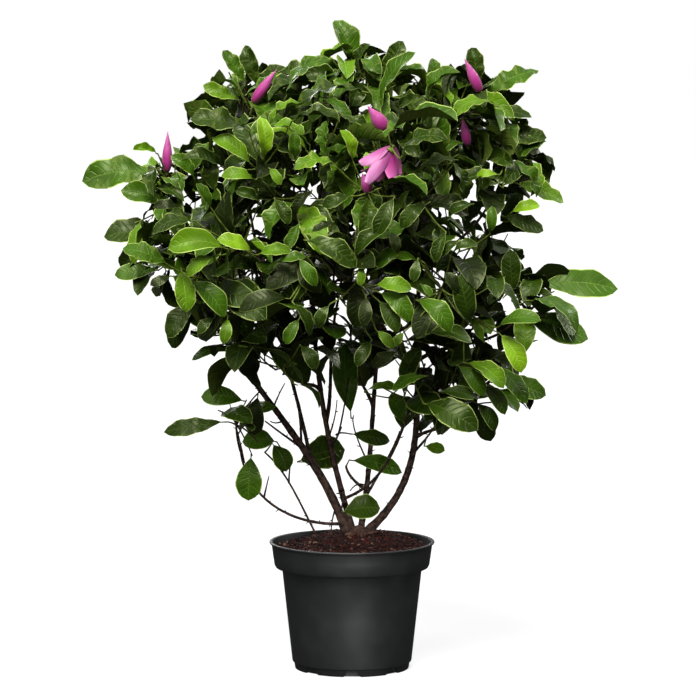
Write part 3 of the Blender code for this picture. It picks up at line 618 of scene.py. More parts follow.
soil = raise_on_wheel("peat_fill", SOIL_BODY, 96)
select_top(soil)
for ring in range(HEAP_RINGS):
    bpy.ops.mesh.inset(thickness=SOIL_RIM / (HEAP_RINGS + 1) * MM)
bpy.ops.object.mode_set(mode="OBJECT")
for corner in soil.data.vertices:
    inside = math.hypot(corner.co.x, corner.co.y) < (SOIL_RIM - 2) * MM
    if inside and corner.co.z > (SOIL_LEVEL - 1) * MM:
        corner.co.z = heap_height(corner.co.x / MM, corner.co.y / MM) * MM
smooth(soil, 60)
soil.data.materials.append(peat_finish)
hand_over(soil, ["soil"])

# %% Chips of bark
CHIPS = 3600
CHIP_SMALL, CHIP_LARGE, CHIP_FEW_LARGE = 1.6, 7.5, 2.6
CHIP_TILT = 0.6  # how far a chip leans at most, in radians
CHIP_TONES = (60, 33, 7)  # how many of a hundred are dark, red and pale


def chip_shape(rng, middle):
    """One chip: a flat lump of eight corners, each a little out of place."""
    size = CHIP_SMALL + (CHIP_LARGE - CHIP_SMALL) * rng.random() ** CHIP_FEW_LARGE
    halves = Vector((size / 2, size * rng.uniform(0.22, 0.4), size * rng.uniform(0.14, 0.3))) * MM
    turn = Matrix.Rotation(rng.uniform(0, 2 * math.pi), 3, "Z")
    turn = turn @ Matrix.Rotation(rng.uniform(-CHIP_TILT, CHIP_TILT), 3, "Y")
    corners = []
    for i in range(8):
        signs = Vector((i & 1, i >> 1 & 1, i >> 2 & 1)) * 2 - Vector((1, 1, 1))
        spot = Vector(signs[k] * halves[k] * rng.uniform(0.65, 1.1) for k in range(3))
        corners.append(middle + turn @ spot)
    faces = [(0, 2, 3, 1), (4, 5, 7, 6), (0, 1, 5, 4), (2, 6, 7, 3), (0, 4, 6, 2), (1, 3, 7, 5)]
    return corners, faces


def strew_chips():
    """All chips, spread evenly over the heap."""
    rng = random.Random(41)
    chips, tones = [], []
    for number in range(CHIPS):
        reach = (SOIL_RIM - 3.5) * math.sqrt((number + 0.5) / CHIPS)
        turn = number * GOLDEN_ANGLE
        x, y = reach * math.cos(turn), reach * math.sin(turn)
        middle = at((x, y, heap_height(x, y) + rng.uniform(0.1, 1.1)))
        chips.append(chip_shape(rng, middle))
        tones.append(rng.choices((0, 1, 2), CHIP_TONES)[0])
    return chips, tones


chips, tones = strew_chips()
chip_piece = join_shapes("bark_chips", chips, chip_finishes, slots=tones)
hand_over(chip_piece)

# %% [markdown]
# ## Stems and boughs
# The skeleton is grown by a rule: each stem is a smooth curve through a few bends, and each bough
# leaves its stem part of the way up and heads for the mass of foliage it carries. Each limb could
# be drawn by hand as a curve, but the same rule and the same bends made the solids, so wood and
# leaves land where the solids are.

# %% Bends of the stems
BOUGH_THICK, BOUGH_THIN = 7.0, 4.2

# name: parent, place along the parent from 0 to 1, the points that bend it, thick end and thin end
LIMBS = {
    "stem_right": (
        None, 0, ((29, 46, 228), (184, 31, 375), (58, 23, 509), (129, 6, 720), (131, -6, 868)), 13.0, 5.0,
    ),
    "stem_middle": (None, 0, ((15, 61, 228), (44, 66, 387), (28, 80, 560), (84, 150, 742)), 10.0, 4.6),
    "stem_centre": (None, 0, ((1, 47, 228), (-62, 36, 439), (-94, 23, 663), (-34, 8, 900)), 10.6, 4.6),
    "stem_left": (None, 0, ((-9, 31, 228), (-61, 5, 380), (-178, -7, 482), (-252, -4, 622)), 16.0, 5.0),
    "stem_upper_left": ("stem_left", 0.30, ((-96, 34, 500), (-170, 35, 678), (-181, 28, 852)), 6.6, 4.4),
    "stem_back_centre": ("stem_centre", 0.29, ((-30, 60, 462), (-44, 104, 530), (-24, 172, 610)), 7.4, 4.4),
    "stem_front": ("stem_centre", 0.085, ((51, -10, 312), (74, -50, 380), (92, -88, 440)), 5.2, 4.0),
    "stem_low_left": ("stem_left", 0.03, ((-95, 5, 240), (-176, -16, 284), (-187, -42, 374)), 5.4, 3.4),
    "shoot_left": (
        None, 0, ((-50, 10, 205), (-85, -14, 273), (-105, -36, 336), (-146, -56, 374)), 3.8, 3.0,
    ),
}
# the mass that a bough carries: its stem, its place along it, and its ends where they aren't the usual
BOUGHS = {
    "left_lower": ("stem_left", 0.50, 6.0, 4.0),
    "left_shoulder": ("stem_left", 0.78),
    "right_shoulder": ("stem_right", 0.68),
    "right_far": ("stem_right", 0.48),
    "right_lower": ("stem_right", 0.27, 6.0, 4.0),
    "front_upper_left": ("stem_centre", 0.66),
    "front_upper_right": ("stem_right", 0.74),
    "front_left": ("stem_upper_left", 0.42),
    "front_centre": ("stem_centre", 0.50),
    "front_right": ("stem_right", 0.56),
    "front_low_left": ("stem_centre", 0.37),
    "back_upper_left": ("stem_upper_left", 0.66),
    "back_left": ("stem_upper_left", 0.30),
    "back_right": ("stem_middle", 0.62),
    "back_low": ("stem_middle", 0.42),
}
for name, (parent, share, *ends) in BOUGHS.items():
    LIMBS["bough_" + name] = (parent, share, (), *(ends or (BOUGH_THICK, BOUGH_THIN)))
print("stems and boughs:", len(LIMBS))

# %% Masses of foliage
# the crown is one form: each mass pulls on the space round it, and the pulls add up where masses meet
PULL_FADE = 2.0  # how fast a mass's pull fades with the square of the distance
CROWN_EDGE = 1.6  # square of how many of its radii a mass reaches by itself
CROWN_LEAST = math.exp(-PULL_FADE * CROWN_EDGE)  # the pull at the crown's edge

# name: centre, radii, and where they aren't the usual ones the limb that carries it, its twigs, the
# leaves on each, and the place along that limb where it sprouts from the side
MASSES = {
    "left_shoulder": ((-291, 10, 812), (84, 115, 62)),
    "left_flank": ((-302, -10, 708), (84, 115, 62), "stem_left"),
    "left_lower": ((-206, -30, 596), (84, 108, 70)),
    "skirt": ((-194, -56, 425), (80, 80, 84), "stem_low_left", 2, 3),
    "upper_left": ((-178, 20, 928), (86, 115, 86), "stem_upper_left"),
    "top": ((4, 0, 970), (108, 115, 82), "stem_centre", 7),
    "upper_right": ((194, 20, 940), (90, 115, 80), "stem_right"),
    "right_shoulder": ((254, 10, 834), (82, 115, 74)),
    "right_far": ((304, -10, 620), (84, 106, 58)),
    "right_lower": ((218, -40, 480), (88, 106, 78)),
    "front_upper_left": ((-98, -170, 848), (108, 115, 104)),
    "front_upper_right": ((80, -190, 835), (106, 115, 104)),
    "front_left": ((-190, -185, 704), (106, 115, 100)),
    "front_centre": ((-28, -232, 694), (108, 115, 100)),
    "front_right": ((152, -190, 675), (106, 115, 100)),
    "front_low_left": ((-112, -132, 556), (96, 105, 76)),
    "front_low_right": ((121, -112, 518), (98, 105, 92), "stem_front"),
    "back_upper_left": ((-118, 185, 862), (110, 120, 106)),
    "back_upper_right": ((112, 195, 862), (110, 120, 106), "stem_middle"),
    "back_left": ((-190, 200, 664), (112, 120, 104)),
    "back_centre": ((-3, 275, 722), (110, 115, 106), "stem_back_centre"),
    "back_right": ((196, 200, 672), (112, 120, 104)),
    "back_low": ((-3, 180, 552), (108, 110, 90)),
    "inner": ((-18, -22, 404), (70, 70, 70), "stem_centre", 1, 1, 0.22),
    "foot": ((-14, -6, 296), (30, 30, 30), "stem_centre", 1, 1, 0.1),
}

print("masses of foliage:", len(MASSES))

# %% Single leaves and blossoms
# Single leaves that stand out past their mass: foot, tip, green and, for the low ones, which show
# singly, the width as a share of the length. A leaf read from the photograph takes the place of
# one without a green, which still takes its room while the others grow.
OUTER_LEAVES = {
    "left_shoulder": (
        ((-317, 0, 840), (-456, 0, 829), "full"), ((-301, -30, 787), (-386, -30, 810), "full"),
    ),
    "left_flank": (((-309, 0, 740), (-419, 0, 735), "deep"), ((-326, -10, 675), (-399, -10, 668), "full")),
    "left_lower": (
        ((-268, -20, 616), (-307, -20, 545), "deep"), ((-262, -50, 634), (-309, -50, 566), "deep"),
    ),
    "skirt": (
        ((-176, -50, 462), (-254, -50, 470), "full", 0.5),
        ((-210, -60, 426), (-319, -60, 414), "deep", 0.3),
        ((-167, -46, 367), (-174, -44, 290), "full", 0.56), ((-156, -80, 394), (-104, -84, 408), "none"),
        ((-154, -70, 478), (-162, -76, 404), "shaded", 0.5),
    ),
    "upper_left": (
        ((-157, 10, 985), (-178, 10, 1054), "deep"), ((-177, 0, 992), (-216, 0, 1044), "full"),
        ((-187, -10, 962), (-249, -10, 988), "fresh"),
    ),
    "top": (
        ((9, 0, 1012), (-29, 0, 1096), "full"), ((52, 0, 998), (84, 0, 1062), "deep"),
        ((-4, 0, 988), (-66, 0, 1032), "full"),
    ),
    "upper_right": (
        ((214, -10, 985), (200, -10, 1050), "deep"), ((142, 0, 958), (134, 0, 1032), "full"),
        ((221, 10, 972), (313, 10, 1017), "full"), ((231, 0, 944), (301, -20, 936), "deep"),
    ),
    "right_shoulder": (
        ((253, 0, 860), (326, 0, 893), "full"), ((273, 0, 822), (357, 0, 790), "fresh"),
        ((250, -20, 764), (320, -20, 742), "deep"), ((240, 0, 884), (327, 0, 902), "deep"),
    ),
    "right_far": (
        ((267, -40, 636), (264, -44, 714), "deep"), ((310, 0, 655), (447, 0, 643), "full"),
        ((280, -20, 605), (398, -20, 562), "full"), ((289, -50, 550), (361, -50, 519), "full"),
    ),
    "right_lower": (
        ((282, -30, 520), (359, -30, 512), "full"), ((248, -30, 500), (326, -30, 467), "full"),
        ((206, -60, 452), (234, -60, 392), "deep"),
    ),
    "front_low_left": (((-150, -160, 565), (-66, -160, 505), "deep"),),
    "front_low_right": (
        ((86, -100, 420), (66, -104, 480), "full"), ((122, -66, 400), (158, -62, 376), "none"),
    ),
    "inner": (
        ((-6, -66, 500), (0, -72, 420), "none"), ((-2, -16, 400), (66, -20, 392), "deep", 0.46),
        ((-26, 64, 388), (-94, 70, 352), "none"), ((8, -2, 356), (84, -6, 342), "none"),
    ),
    "foot": (((-18, -8, 264), (48, -14, 276), "deep", 0.74),),
}

# Buds and flowers, each from its foot to its tip, and its diameter
BLOSSOMS = {
    "left_shoulder": (((-311, -24, 846), (-307, -24, 910), 17),),
    "upper_left": (((-162, -60, 963), (-124, -64, 1014), 18),),
    "upper_right": (((216, -30, 980), (187, -34, 1031), 18), ((193, -66, 885), (183, -70, 936), 16)),
    "front_upper_right": (
        ((52, -230, 926), (25, -238, 958), 24),
        ((62, -276, 896), (30, -286, 846), 40),
        ((22, -276, 820), (16, -284, 852), 16),
    ),
}
print("blossoms:", sum(len(rows) for rows in BLOSSOMS.values()))

# %% [markdown]
# ## The rule of growth
# A limb is a row of points with a thickness that tapers. The crown is one form: every mass pulls
# on the space round it, the pulls add up, and the crown ends where their sum fades. Flat walls
# part each mass from its neighbours, so no two sprays grow into each other. Twigs fan out from a
# mass's stem at the golden angle, as buds do on a real shoot, and a leaf is tilted and shortened
# until it fits its space, or left out. Leaves strewn at random would be quicker, but they would
# run through each other and hang in the air.

# %% Curves and tubes
def bezier(points, share):
    """The point a share of the way along a Bezier curve with any number of points."""
    points = list(points)
    while len(points) > 1:
        points = [a.lerp(b, share) for a, b in zip(points, points[1:])]
    return points[0]


def route_of(points, count):
    """Evenly numbered points along a Bezier curve."""
    return [bezier(points, i / (count - 1)) for i in range(count)]


def length_of(route):
    """The length of a row of points."""
    return sum((b - a).length for a, b in zip(route, route[1:]))


def across_of(direction):
    """A unit vector square to a direction."""
    helper = UP if abs(direction.z) < 0.9 else Vector((1, 0, 0))
    return direction.cross(helper).normalized()


def spoke_of(side, other, turn):
    """The way out at an angle round an axis that two unit vectors are square to."""
    return side * math.cos(turn) + other * math.sin(turn)


def side_faces(rings, sides):
    """The faces between closed rings of corners."""
    faces = []
    for low in range(0, (rings - 1) * sides, sides):
        for i in range(sides):
            j = (i + 1) % sides
            faces.append((low + i, low + j, low + sides + j, low + sides + i))
    return faces


def tube_faces(rings, sides):
    """The faces of a tube of closed rings, with both its ends."""
    ends = [tuple(reversed(range(sides))), tuple((rings - 1) * sides + i for i in range(sides))]
    return side_faces(rings, sides) + ends


def tree_of(shapes):
    """One search tree over several shapes."""
    corners, faces = [], []
    for more_corners, more_faces in shapes:
        start = len(corners)
        corners += more_corners
        faces += [tuple(start + i for i in face) for face in more_faces]
    return BVHTree.FromPolygons(corners, faces)


# %% A limb
LIMB_SIDES = 6


class Limb:
    """One tapering stem, bough or twig: its bends, its route and its thickness in millimetres."""

    def __init__(self, bends, count, thick, thin, sides=LIMB_SIDES, first=None):
        self.bends = bends
        self.route = route_of(bends, count)
        self.thick = thick
        self.thin = thin
        self.sides = sides
        self.frames = []
        side = across_of((self.route[1] - self.route[0]).normalized())
        for k in range(count):
            ahead = (self.route[min(k + 1, count - 1)] - self.route[max(k - 1, 0)]).normalized()
            if k == 0 and first:
                ahead = first
            side = (side - ahead * side.dot(ahead)).normalized()
            self.frames.append((side, ahead.cross(side)))

    def place(self, share):
        """The point, the direction and the diameter a share of the way along."""
        spot = share * (len(self.route) - 1)
        k = min(int(spot), len(self.route) - 2)
        ahead = (self.route[k + 1] - self.route[k]).normalized()
        middle = self.route[k].lerp(self.route[k + 1], spot - k)
        return middle, ahead, self.thick + (self.thin - self.thick) * share

    def spoke(self, share, turn):
        """The way out from the axis at an angle round it, a share of the way along."""
        return spoke_of(*self.frames[round(share * (len(self.route) - 1))], turn)

    def solid(self, wider=0.0):
        """Its plain solid, or one with more room all round."""
        corners = []
        last = len(self.route) - 1
        for k, (middle, frame) in enumerate(zip(self.route, self.frames)):
            radius = ((self.thick + (self.thin - self.thick) * k / last) / 2 + wider) * MM
            for i in range(self.sides):
                corners.append(middle + spoke_of(*frame, 2 * math.pi * i / self.sides) * radius)
        return corners, tube_faces(last + 1, self.sides)


# %% The space of a mass
CELL_CLEAR = 0.5  # mm of room that leaves keep from the walls between masses


class Mass:
    """The space of one mass of foliage: its part of the crown, kept clear of the spaces next to it."""

    def __init__(self, name, centre, radii, carrier=None, twigs=6, leaves=4, side_share=None):
        self.name = name
        self.carrier = carrier or "bough_" + name
        self.twigs = twigs
        self.leaves = leaves
        self.side_share = side_share  # where it sprouts from its limb's side, or None at the tip
        self.centre = at(centre)
        self.radii = at(radii)
        size = sum(radii) / 3 * MM
        self.walls = []
        for other, (place, spread, *_) in MASSES.items():
            if other == name:
                continue
            apart = at(place) - self.centre
            bias = size**2 - (sum(spread) / 3 * MM) ** 2
            self.walls.append((apart.normalized(), (apart.length_squared + bias) / (2 * apart.length)))

    def in_cell(self, place, clear=CELL_CLEAR):
        """Whether a place is on this mass's side of every wall between two masses."""
        out = place - self.centre
        return all(out.dot(way) < far - clear * MM for way, far in self.walls)

    def pull(self, place):
        """How strongly this mass draws a place into the crown, from 1 at its centre to 0 far off."""
        out = place - self.centre
        return math.exp(-PULL_FADE * sum((out[i] / self.radii[i]) ** 2 for i in range(3)))

    def holds(self, place):
        """Whether a place is in the cell and within the crown."""
        return self.in_cell(place) and sum(mass.pull(place) for mass in masses) > CROWN_LEAST

    def edge(self, way, share):
        """A point on the way from the centre to the ellipsoid's surface."""
        reach = 1 / math.sqrt(sum((way[i] / self.radii[i]) ** 2 for i in range(3)))
        return self.centre + way * reach * share


# %% Grow the limbs
LIMB_STEP = 52.0
FORK_SHRINK = 0.8
TIP_SHARE, TIP_LEAST, TIP_STEP, TIP_CLEAR = 0.8, 0.2, 0.05, 6.0  # how far out a bough may end
BOUGH_HANDLE = 0.33
BOUGH_ALONG, BOUGH_RISE = 0.35, 0.5  # how much a bough follows its stem, and turns up at its end


def limb_tip(mass, start):
    """Where a bough from a start enters its mass, low on the side that faces the start."""
    way = ((start - mass.centre).normalized() * 0.7 + DOWN * 0.3).normalized()
    share = TIP_SHARE
    while share > TIP_LEAST and not mass.in_cell(mass.edge(way, share), TIP_CLEAR):
        share -= TIP_STEP
    return mass.edge(way, share)


def grow_limbs(masses):
    """All stems and boughs, each from its parent to its own mass."""
    limbs = {}
    heads_for = {mass.carrier: mass for mass in masses if mass.side_share is None}
    for name, (parent, share, bends, thick, thin) in LIMBS.items():
        points = [at(bend) for bend in bends]
        if parent:
            start, ahead, parent_thick = limbs[parent].place(share)
            thick = min(thick, parent_thick * FORK_SHRINK)
            if not points:
                mass = heads_for[name]
                tip = limb_tip(mass, start)
                handle = (tip - start).length * BOUGH_HANDLE
                straight = (tip - start).normalized()
                leave = (ahead * BOUGH_ALONG + straight).normalized()
                enter = ((mass.centre - tip).normalized() * 0.6 + straight + UP * BOUGH_RISE).normalized()
                points = [start + leave * handle, tip - enter * handle, tip]
            points.insert(0, start)
        count = max(4, round(length_of(route_of(points, 12)) / (LIMB_STEP * MM)) + 1)
        limbs[name] = Limb(points, count, thick, thin)
    return limbs


masses = [Mass(name, *row) for name, row in MASSES.items()]
limbs = grow_limbs(masses)
print("limbs:", len(limbs), "masses:", len(masses))

# %% The crown's surface
CENTRES = np.array([mass.centre for mass in masses])
RADII = np.array([mass.radii for mass in masses])
REACHES = np.arange(5.4, 6.6, 0.004)  # metres from the camera, from before the crown to behind it


def pull_at(places):
    """How strongly all masses together draw some places into the crown."""
    off = (np.asarray(places)[:, None, :] - CENTRES) / RADII
    return np.exp(-PULL_FADE * (off**2).sum(axis=2)).sum(axis=1)


def surface_at(pixel):
    """How far away the camera's view through a pixel meets the crown, or passes nearest to it."""
    pulls = pull_at(np.array(CAMERA_PLACE) + np.outer(REACHES, ray_of(pixel)))
    met = pulls > CROWN_LEAST
    return REACHES[np.argmax(met) if met.any() else np.argmax(pulls)]


def place_at(pixel, reach):
    """The place that shows at a pixel, this far from the camera."""
    return VIEWER + ray_of(pixel) * float(reach)


print("the crown's surface is", round(float(surface_at((348, 200))), 2), "m from the camera at its middle")

# %% [markdown]
# ## Bark
# The solids give each limb as a smooth taper. Real wood swells into its fork, has a raised ring
# where each year's growth began, and is never quite round. Forty limbs are too many to extrude by
# hand, and no operator pushes each corner by a noise of its own, so rings of corners are laid by a
# rule every few millimetres along the same curve, each a little in or out.

# %% Wood with relief
RING_STEP = 6.0
WOOD_SIDES, BARE_SIDES = 12, 7
YEAR_RINGS, RING_SWELL, RING_WIDTH = 46.0, 0.13, 2.6  # growth rings: distance, share and width
FLARE, FLARE_REACH = 0.3, 16.0  # the swelling into the fork
LUMP_SIZE, LUMP_SHARE = 9.0, 0.12


def wood_shape(bends, thick, thin, sides=WOOD_SIDES, seed=0):
    """A limb's bark: rings along its curve, swollen at its fork and at its growth rings."""
    long = length_of(route_of(bends, 24)) / MM
    count = max(4, round(long / RING_STEP) + 1)
    limb = Limb(bends, count, thick, thin)
    phase = random.Random(seed).uniform(0, YEAR_RINGS)
    corners = []
    for k, (middle, frame) in enumerate(zip(limb.route, limb.frames)):
        share = k / (count - 1)
        far = share * long
        radius = (thick + (thin - thick) * share) / 2
        radius *= 1 + FLARE * math.exp(-far / FLARE_REACH)
        near_ring = abs((far + phase) % YEAR_RINGS - YEAR_RINGS / 2)
        radius *= 1 + RING_SWELL * math.exp(-((near_ring / RING_WIDTH) ** 2))
        for i in range(sides):
            spoke = spoke_of(*frame, 2 * math.pi * i / sides)
            lump = noise.noise((middle + spoke * radius * MM) / (LUMP_SIZE * MM))
            corners.append(middle + spoke * radius * (1 + LUMP_SHARE * lump) * MM)
    return corners, tube_faces(count, sides)


# %% Root crown
STOOL_RINGS, STOOL_SIDES = 9, 40
STOOL_RADIUS, STOOL_FOOT, STOOL_RISE, STOOL_TOP = 32.0, 220.0, 16.0, 237.0
STOOL_LOBES = ((3, 0.6, 0.1), (5, 0.0, 0.07), (9, 0.0, 0.04))  # how many, where they start, how deep


def root_crown_shape():
    """The low stump that the stems rise from: a lobed, lumpy mound."""
    corners = []
    for k in range(STOOL_RINGS):
        share = k / STOOL_RINGS
        for i in range(STOOL_SIDES):
            turn = 2 * math.pi * i / STOOL_SIDES
            lobes = sum((depth * math.cos(count * turn + start) for count, start, depth in STOOL_LOBES), 1)
            radius = STOOL_RADIUS * math.cos(share * math.pi / 2) ** 0.8 * lobes
            x, y = CROWN_X + radius * math.cos(turn), CROWN_Y + radius * math.sin(turn)
            lump = 1.6 * noise.noise(Vector((x, y, share * 20)) / 7)
            corners.append(at((x, y, STOOL_FOOT + STOOL_RISE * share + lump)))
    corners.append(at((CROWN_X, CROWN_Y, STOOL_TOP)))
    faces = side_faces(STOOL_RINGS, STOOL_SIDES)
    top = (STOOL_RINGS - 1) * STOOL_SIDES
    for i in range(STOOL_SIDES):
        faces.append((top + i, top + (i + 1) % STOOL_SIDES, len(corners) - 1))
    faces.append(tuple(reversed(range(STOOL_SIDES))))
    return corners, faces


# %% Bare twigs and spurs
SPUR_STEP = 21.0
SPUR_REACHES = (2.0, 2.6, 3.4, 6.5)
SPUR_THICK, SPUR_THIN, SPUR_SIDES = 2.4, 0.9, 4

# the limb that each leaves, its thick and thin ends, and the pixels that it runs through
BARE_TWIGS = (
    ("stem_right", 4.2, 2.6, ((421, 455), (434, 431), (437, 421))),
    ("stem_right", 3.2, 2.0, ((421, 440), (429, 425), (420, 411))),
    ("stem_right", 3.0, 2.0, ((415, 415), (409, 423), (401, 430))),
    ("stem_right", 3.0, 2.0, ((415, 402), (409, 394), (404, 385))),
    ("stem_middle", 5.0, 3.2, ((353, 496), (372, 486), (382, 469), (395, 447), (400, 431))),
    ("stem_middle", 5.2, 4.2, ((351, 488), (348, 478), (346, 466))),
    ("stem_middle", 3.0, 2.0, ((351, 483), (357, 480), (350, 491))),
    ("stem_middle", 3.0, 1.8, ((338, 462), (349, 424), (354, 415))),
    ("stem_centre", 3.0, 1.8, ((334, 436), (336, 418), (337, 400))),
    ("stem_left", 4.6, 2.8, ((300, 452), (286, 437), (265, 421))),
    ("stem_left", 4.4, 2.8, ((313, 438), (302, 412), (292, 385))),
    ("stem_left", 3.0, 1.8, ((276, 404), (279, 393), (285, 383))),
    ("stem_left", 2.6, 1.8, ((283, 423), (275, 425), (270, 421))),
    ("shoot_left", 3.0, 1.8, ((292, 481), (289, 472), (291, 460))),
    ("stem_low_left", 3.0, 1.8, ((264, 498), (266, 488), (269, 476))),
    ("stem_low_left", 2.8, 1.6, ((248, 463), (240, 437), (227, 395))),
    ("stem_left", 3.2, 2.2, ((333, 509), (337, 518), (341, 528))),
    ("stem_left", 3.0, 2.2, ((330, 507), (331, 520), (331, 535))),
)


def nearest_on(limb, pixel):
    """The place along a limb that the camera sees nearest to a pixel."""
    way = ray_of(pixel)
    places = [limb.place(k / 80)[0] for k in range(81)]
    return min(places, key=lambda place: (place - VIEWER).cross(way).length)


def bare_twig(limb_name, thick, thin, pixels):
    """A leafless twig that leaves its limb and runs on through the pixels, as far away as its foot."""
    start = nearest_on(limbs[limb_name], pixels[0])
    reach = (start - VIEWER).length
    return [start] + [place_at(pixel, reach) for pixel in pixels[1:]], thick, thin


def spurs_on(bends, thick, thin, rng):
    """Short pointed spurs, the scars of old leaf stalks, at the golden angle along a limb."""
    long = length_of(route_of(bends, 24)) / MM
    limb = Limb(bends, 24, thick, thin)
    spurs = []
    for k in range(1, int(long / SPUR_STEP)):
        share = min((k + rng.uniform(-0.3, 0.3)) * SPUR_STEP / long, 0.97)
        middle, ahead, wide = limb.place(share)
        out = limb.spoke(share, k * GOLDEN_ANGLE)
        way = (out + ahead * 0.5).normalized()
        foot = middle + out * wide * 0.3 * MM
        reach = rng.choice(SPUR_REACHES) + wide * 0.2
        bends = (foot, foot + way * reach * 0.5 * MM, foot + way * reach * MM)
        spurs.append(Limb(bends, 3, SPUR_THICK, SPUR_THIN, SPUR_SIDES).solid())
    return spurs


wood, bare_places = [], []
spur_rng = random.Random(17)
for number, (name, limb) in enumerate(limbs.items()):
    wood.append(wood_shape(limb.bends, limb.thick, limb.thin, seed=number))
    wood += spurs_on(limb.bends, limb.thick, limb.thin, spur_rng)
for number, row in enumerate(BARE_TWIGS):
    bends, thick, thin = bare_twig(*row)
    bare_places += route_of(bends, 9)[3:]
    wood.append(wood_shape(bends, thick, thin, BARE_SIDES, 100 + number))
    wood += spurs_on(bends, thick, thin, spur_rng)
barks = [bark_finish, stool_finish]
bark = join_shapes("stems_and_boughs", [root_crown_shape()] + wood, barks, slots=[1] + [0] * len(wood))
smooth(bark, 50)
hand_over(bark, ["root_crown", *limbs])

# %% [markdown]
# ## Twigs and the places of the leaves
# Inside each mass the solids' rule is followed to the letter, with the same seeds, so that the
# large leaves lie where the solids have them. They could be copied from the solids, but those
# are plain wedges without stalks. The rule gives for each leaf where it is rooted, where it points
# and which way its face looks, and a full blade can then be built there.

# %% Twigs
TWIG_SIDES = 3
TWIG_THICK, TWIG_THIN, TWIG_SLIM = 5.2, 3.8, 0.85
TWIG_REACH, TWIG_SHORTER, TWIG_TRIES = 0.56, 0.75, 4
TWIG_RINGS, STEM_RINGS = 2, 3
STEM_RISE, STEM_BEND = 0.12, 0.45
FIRST_TWIG, OUTER_TWIG = 0.25, 0.75  # where twigs leave a mass's stem
SUNK = 0.93  # where along a twig its last leaf is rooted, so that its foot is in the wood
GAP = 0.3  # between a bough's tip and its mass's stem


def mass_stem(mass):
    """The stem of one mass, from its bough's tip to the middle of its space."""
    limb = limbs[mass.carrier]
    if mass.side_share is None:
        tip, ahead, _ = limb.place(1.0)
        start = tip + ahead * GAP * MM
    else:
        start, _, _ = limb.place(mass.side_share)
        ahead = (mass.centre - start).normalized()
    end = mass.centre + UP * mass.radii.z * STEM_RISE
    bend = start + ahead * (end - start).length * STEM_BEND
    return Limb((start, bend, end), STEM_RINGS, TWIG_THICK, TWIG_THIN, TWIG_SIDES, ahead)


def sphere_ways(count, phase):
    """Directions spread evenly over a sphere by the golden angle, from the lowest to the highest."""
    ways = []
    for i in range(count):
        height = -1 + 2 * (i + 0.5) / count
        turn = phase + i * GOLDEN_ANGLE
        flat = math.sqrt(1 - height * height)
        ways.append(Vector((flat * math.cos(turn), flat * math.sin(turn), height)))
    return ways


def twig_between(start, ahead, end):
    """A twig that leaves its stem along it and curves to its end."""
    bend = start + (ahead * 0.3 + (end - start).normalized() * 0.5) * (end - start).length * 0.6
    return Limb((start, bend, end), TWIG_RINGS, TWIG_THICK * TWIG_SLIM, TWIG_THIN, TWIG_SIDES)


def grow_twigs(mass, stem, rng, taken):
    """Twigs from a mass's stem towards all sides of its space."""
    twigs = []
    ways = sphere_ways(mass.twigs, rng.uniform(0, 2 * math.pi))
    for i, way in enumerate(ways):
        share = FIRST_TWIG + (1 - FIRST_TWIG) * (i + 0.5) / len(ways)
        start, ahead, _ = stem.place(share)
        reach = TWIG_REACH
        for _ in range(TWIG_TRIES):
            twig = twig_between(start, ahead, mass.edge(way, reach))
            fits = all(mass.holds(place) for place in twig.route[1:])
            if fits and not tree_of([twig.solid()]).overlap(taken):
                twigs.append(twig)
                break
            reach *= TWIG_SHORTER
    return twigs


# %% Places of the leaves
LEAF_WIDTH, LEAF_THICK, LEAF_MIDDLE = 0.5, 0.036, 0.45  # of a plain blade, as shares of its length
OUTER_LOOK = Vector((0, -0.8, 0.6))
BUD_SIDES = 5
BUD_RINGS = ((0.22, 0.8), (0.5, 1.0), (0.8, 0.55))  # place along a plain bud, and how wide it is there


class Blade:
    """The place of one leaf: where it is rooted, where it points, and which way its top looks."""

    def __init__(self, foot, along, face, length, arch, green=None, breadth=None, fresh=0.0):
        self.foot = foot
        self.along = along
        self.face = face
        self.length = length
        self.arch = arch
        self.green = green  # the name of its green, where the photograph shows it
        self.breadth = breadth  # its width as a share of its length, where that is set
        self.fresh = fresh  # how young it is, from 0 to 1

    def plain(self):
        """The plain arched blade that tests whether the leaf fits."""
        side = self.along.cross(self.face).normalized()
        middle = self.foot + self.along * self.length * LEAF_MIDDLE + self.face * self.length * self.arch
        edge = side * self.length * LEAF_WIDTH * 0.5
        ridge = middle + self.face * self.length * LEAF_THICK
        corners = [self.foot, self.foot + self.along * self.length, middle - edge, middle + edge, ridge]
        faces = [(0, 2, 4), (0, 4, 3), (1, 4, 2), (1, 3, 4), (0, 3, 2), (1, 2, 3)]
        return corners, faces


def face_of(along, look, roll):
    """The way a leaf's upper face looks, square to the leaf and rolled by an angle."""
    face = (look - along * look.dot(along)).normalized()
    return (face * math.cos(roll) + along.cross(face) * math.sin(roll)).normalized()


def blade_between(foot, tip, arch, green, breadth=None, roll=0.0):
    """A leaf between two places, with its face turned up and to the viewer, and then rolled."""
    along = (tip - foot).normalized()
    return Blade(foot, along, face_of(along, OUTER_LOOK, roll), (tip - foot).length, arch, green, breadth)


def plain_bud(foot, tip, width):
    """The plain pointed bud that other leaves keep clear of."""
    along = tip - foot
    side = across_of(along.normalized())
    other = along.normalized().cross(side)
    corners = [foot, tip]
    for share, breadth in BUD_RINGS:
        for i in range(BUD_SIDES):
            spoke = spoke_of(side, other, 2 * math.pi * i / BUD_SIDES)
            corners.append(foot + along * share + spoke * width * 0.5 * breadth * MM)
    faces = []
    low, middle, high = (2 + BUD_SIDES * ring for ring in range(3))
    for i in range(BUD_SIDES):
        j = (i + 1) % BUD_SIDES
        faces += [(0, low + j, low + i), (1, high + i, high + j)]
        faces += [(low + i, low + j, middle + j, middle + i), (middle + i, middle + j, high + j, high + i)]
    return corners, faces


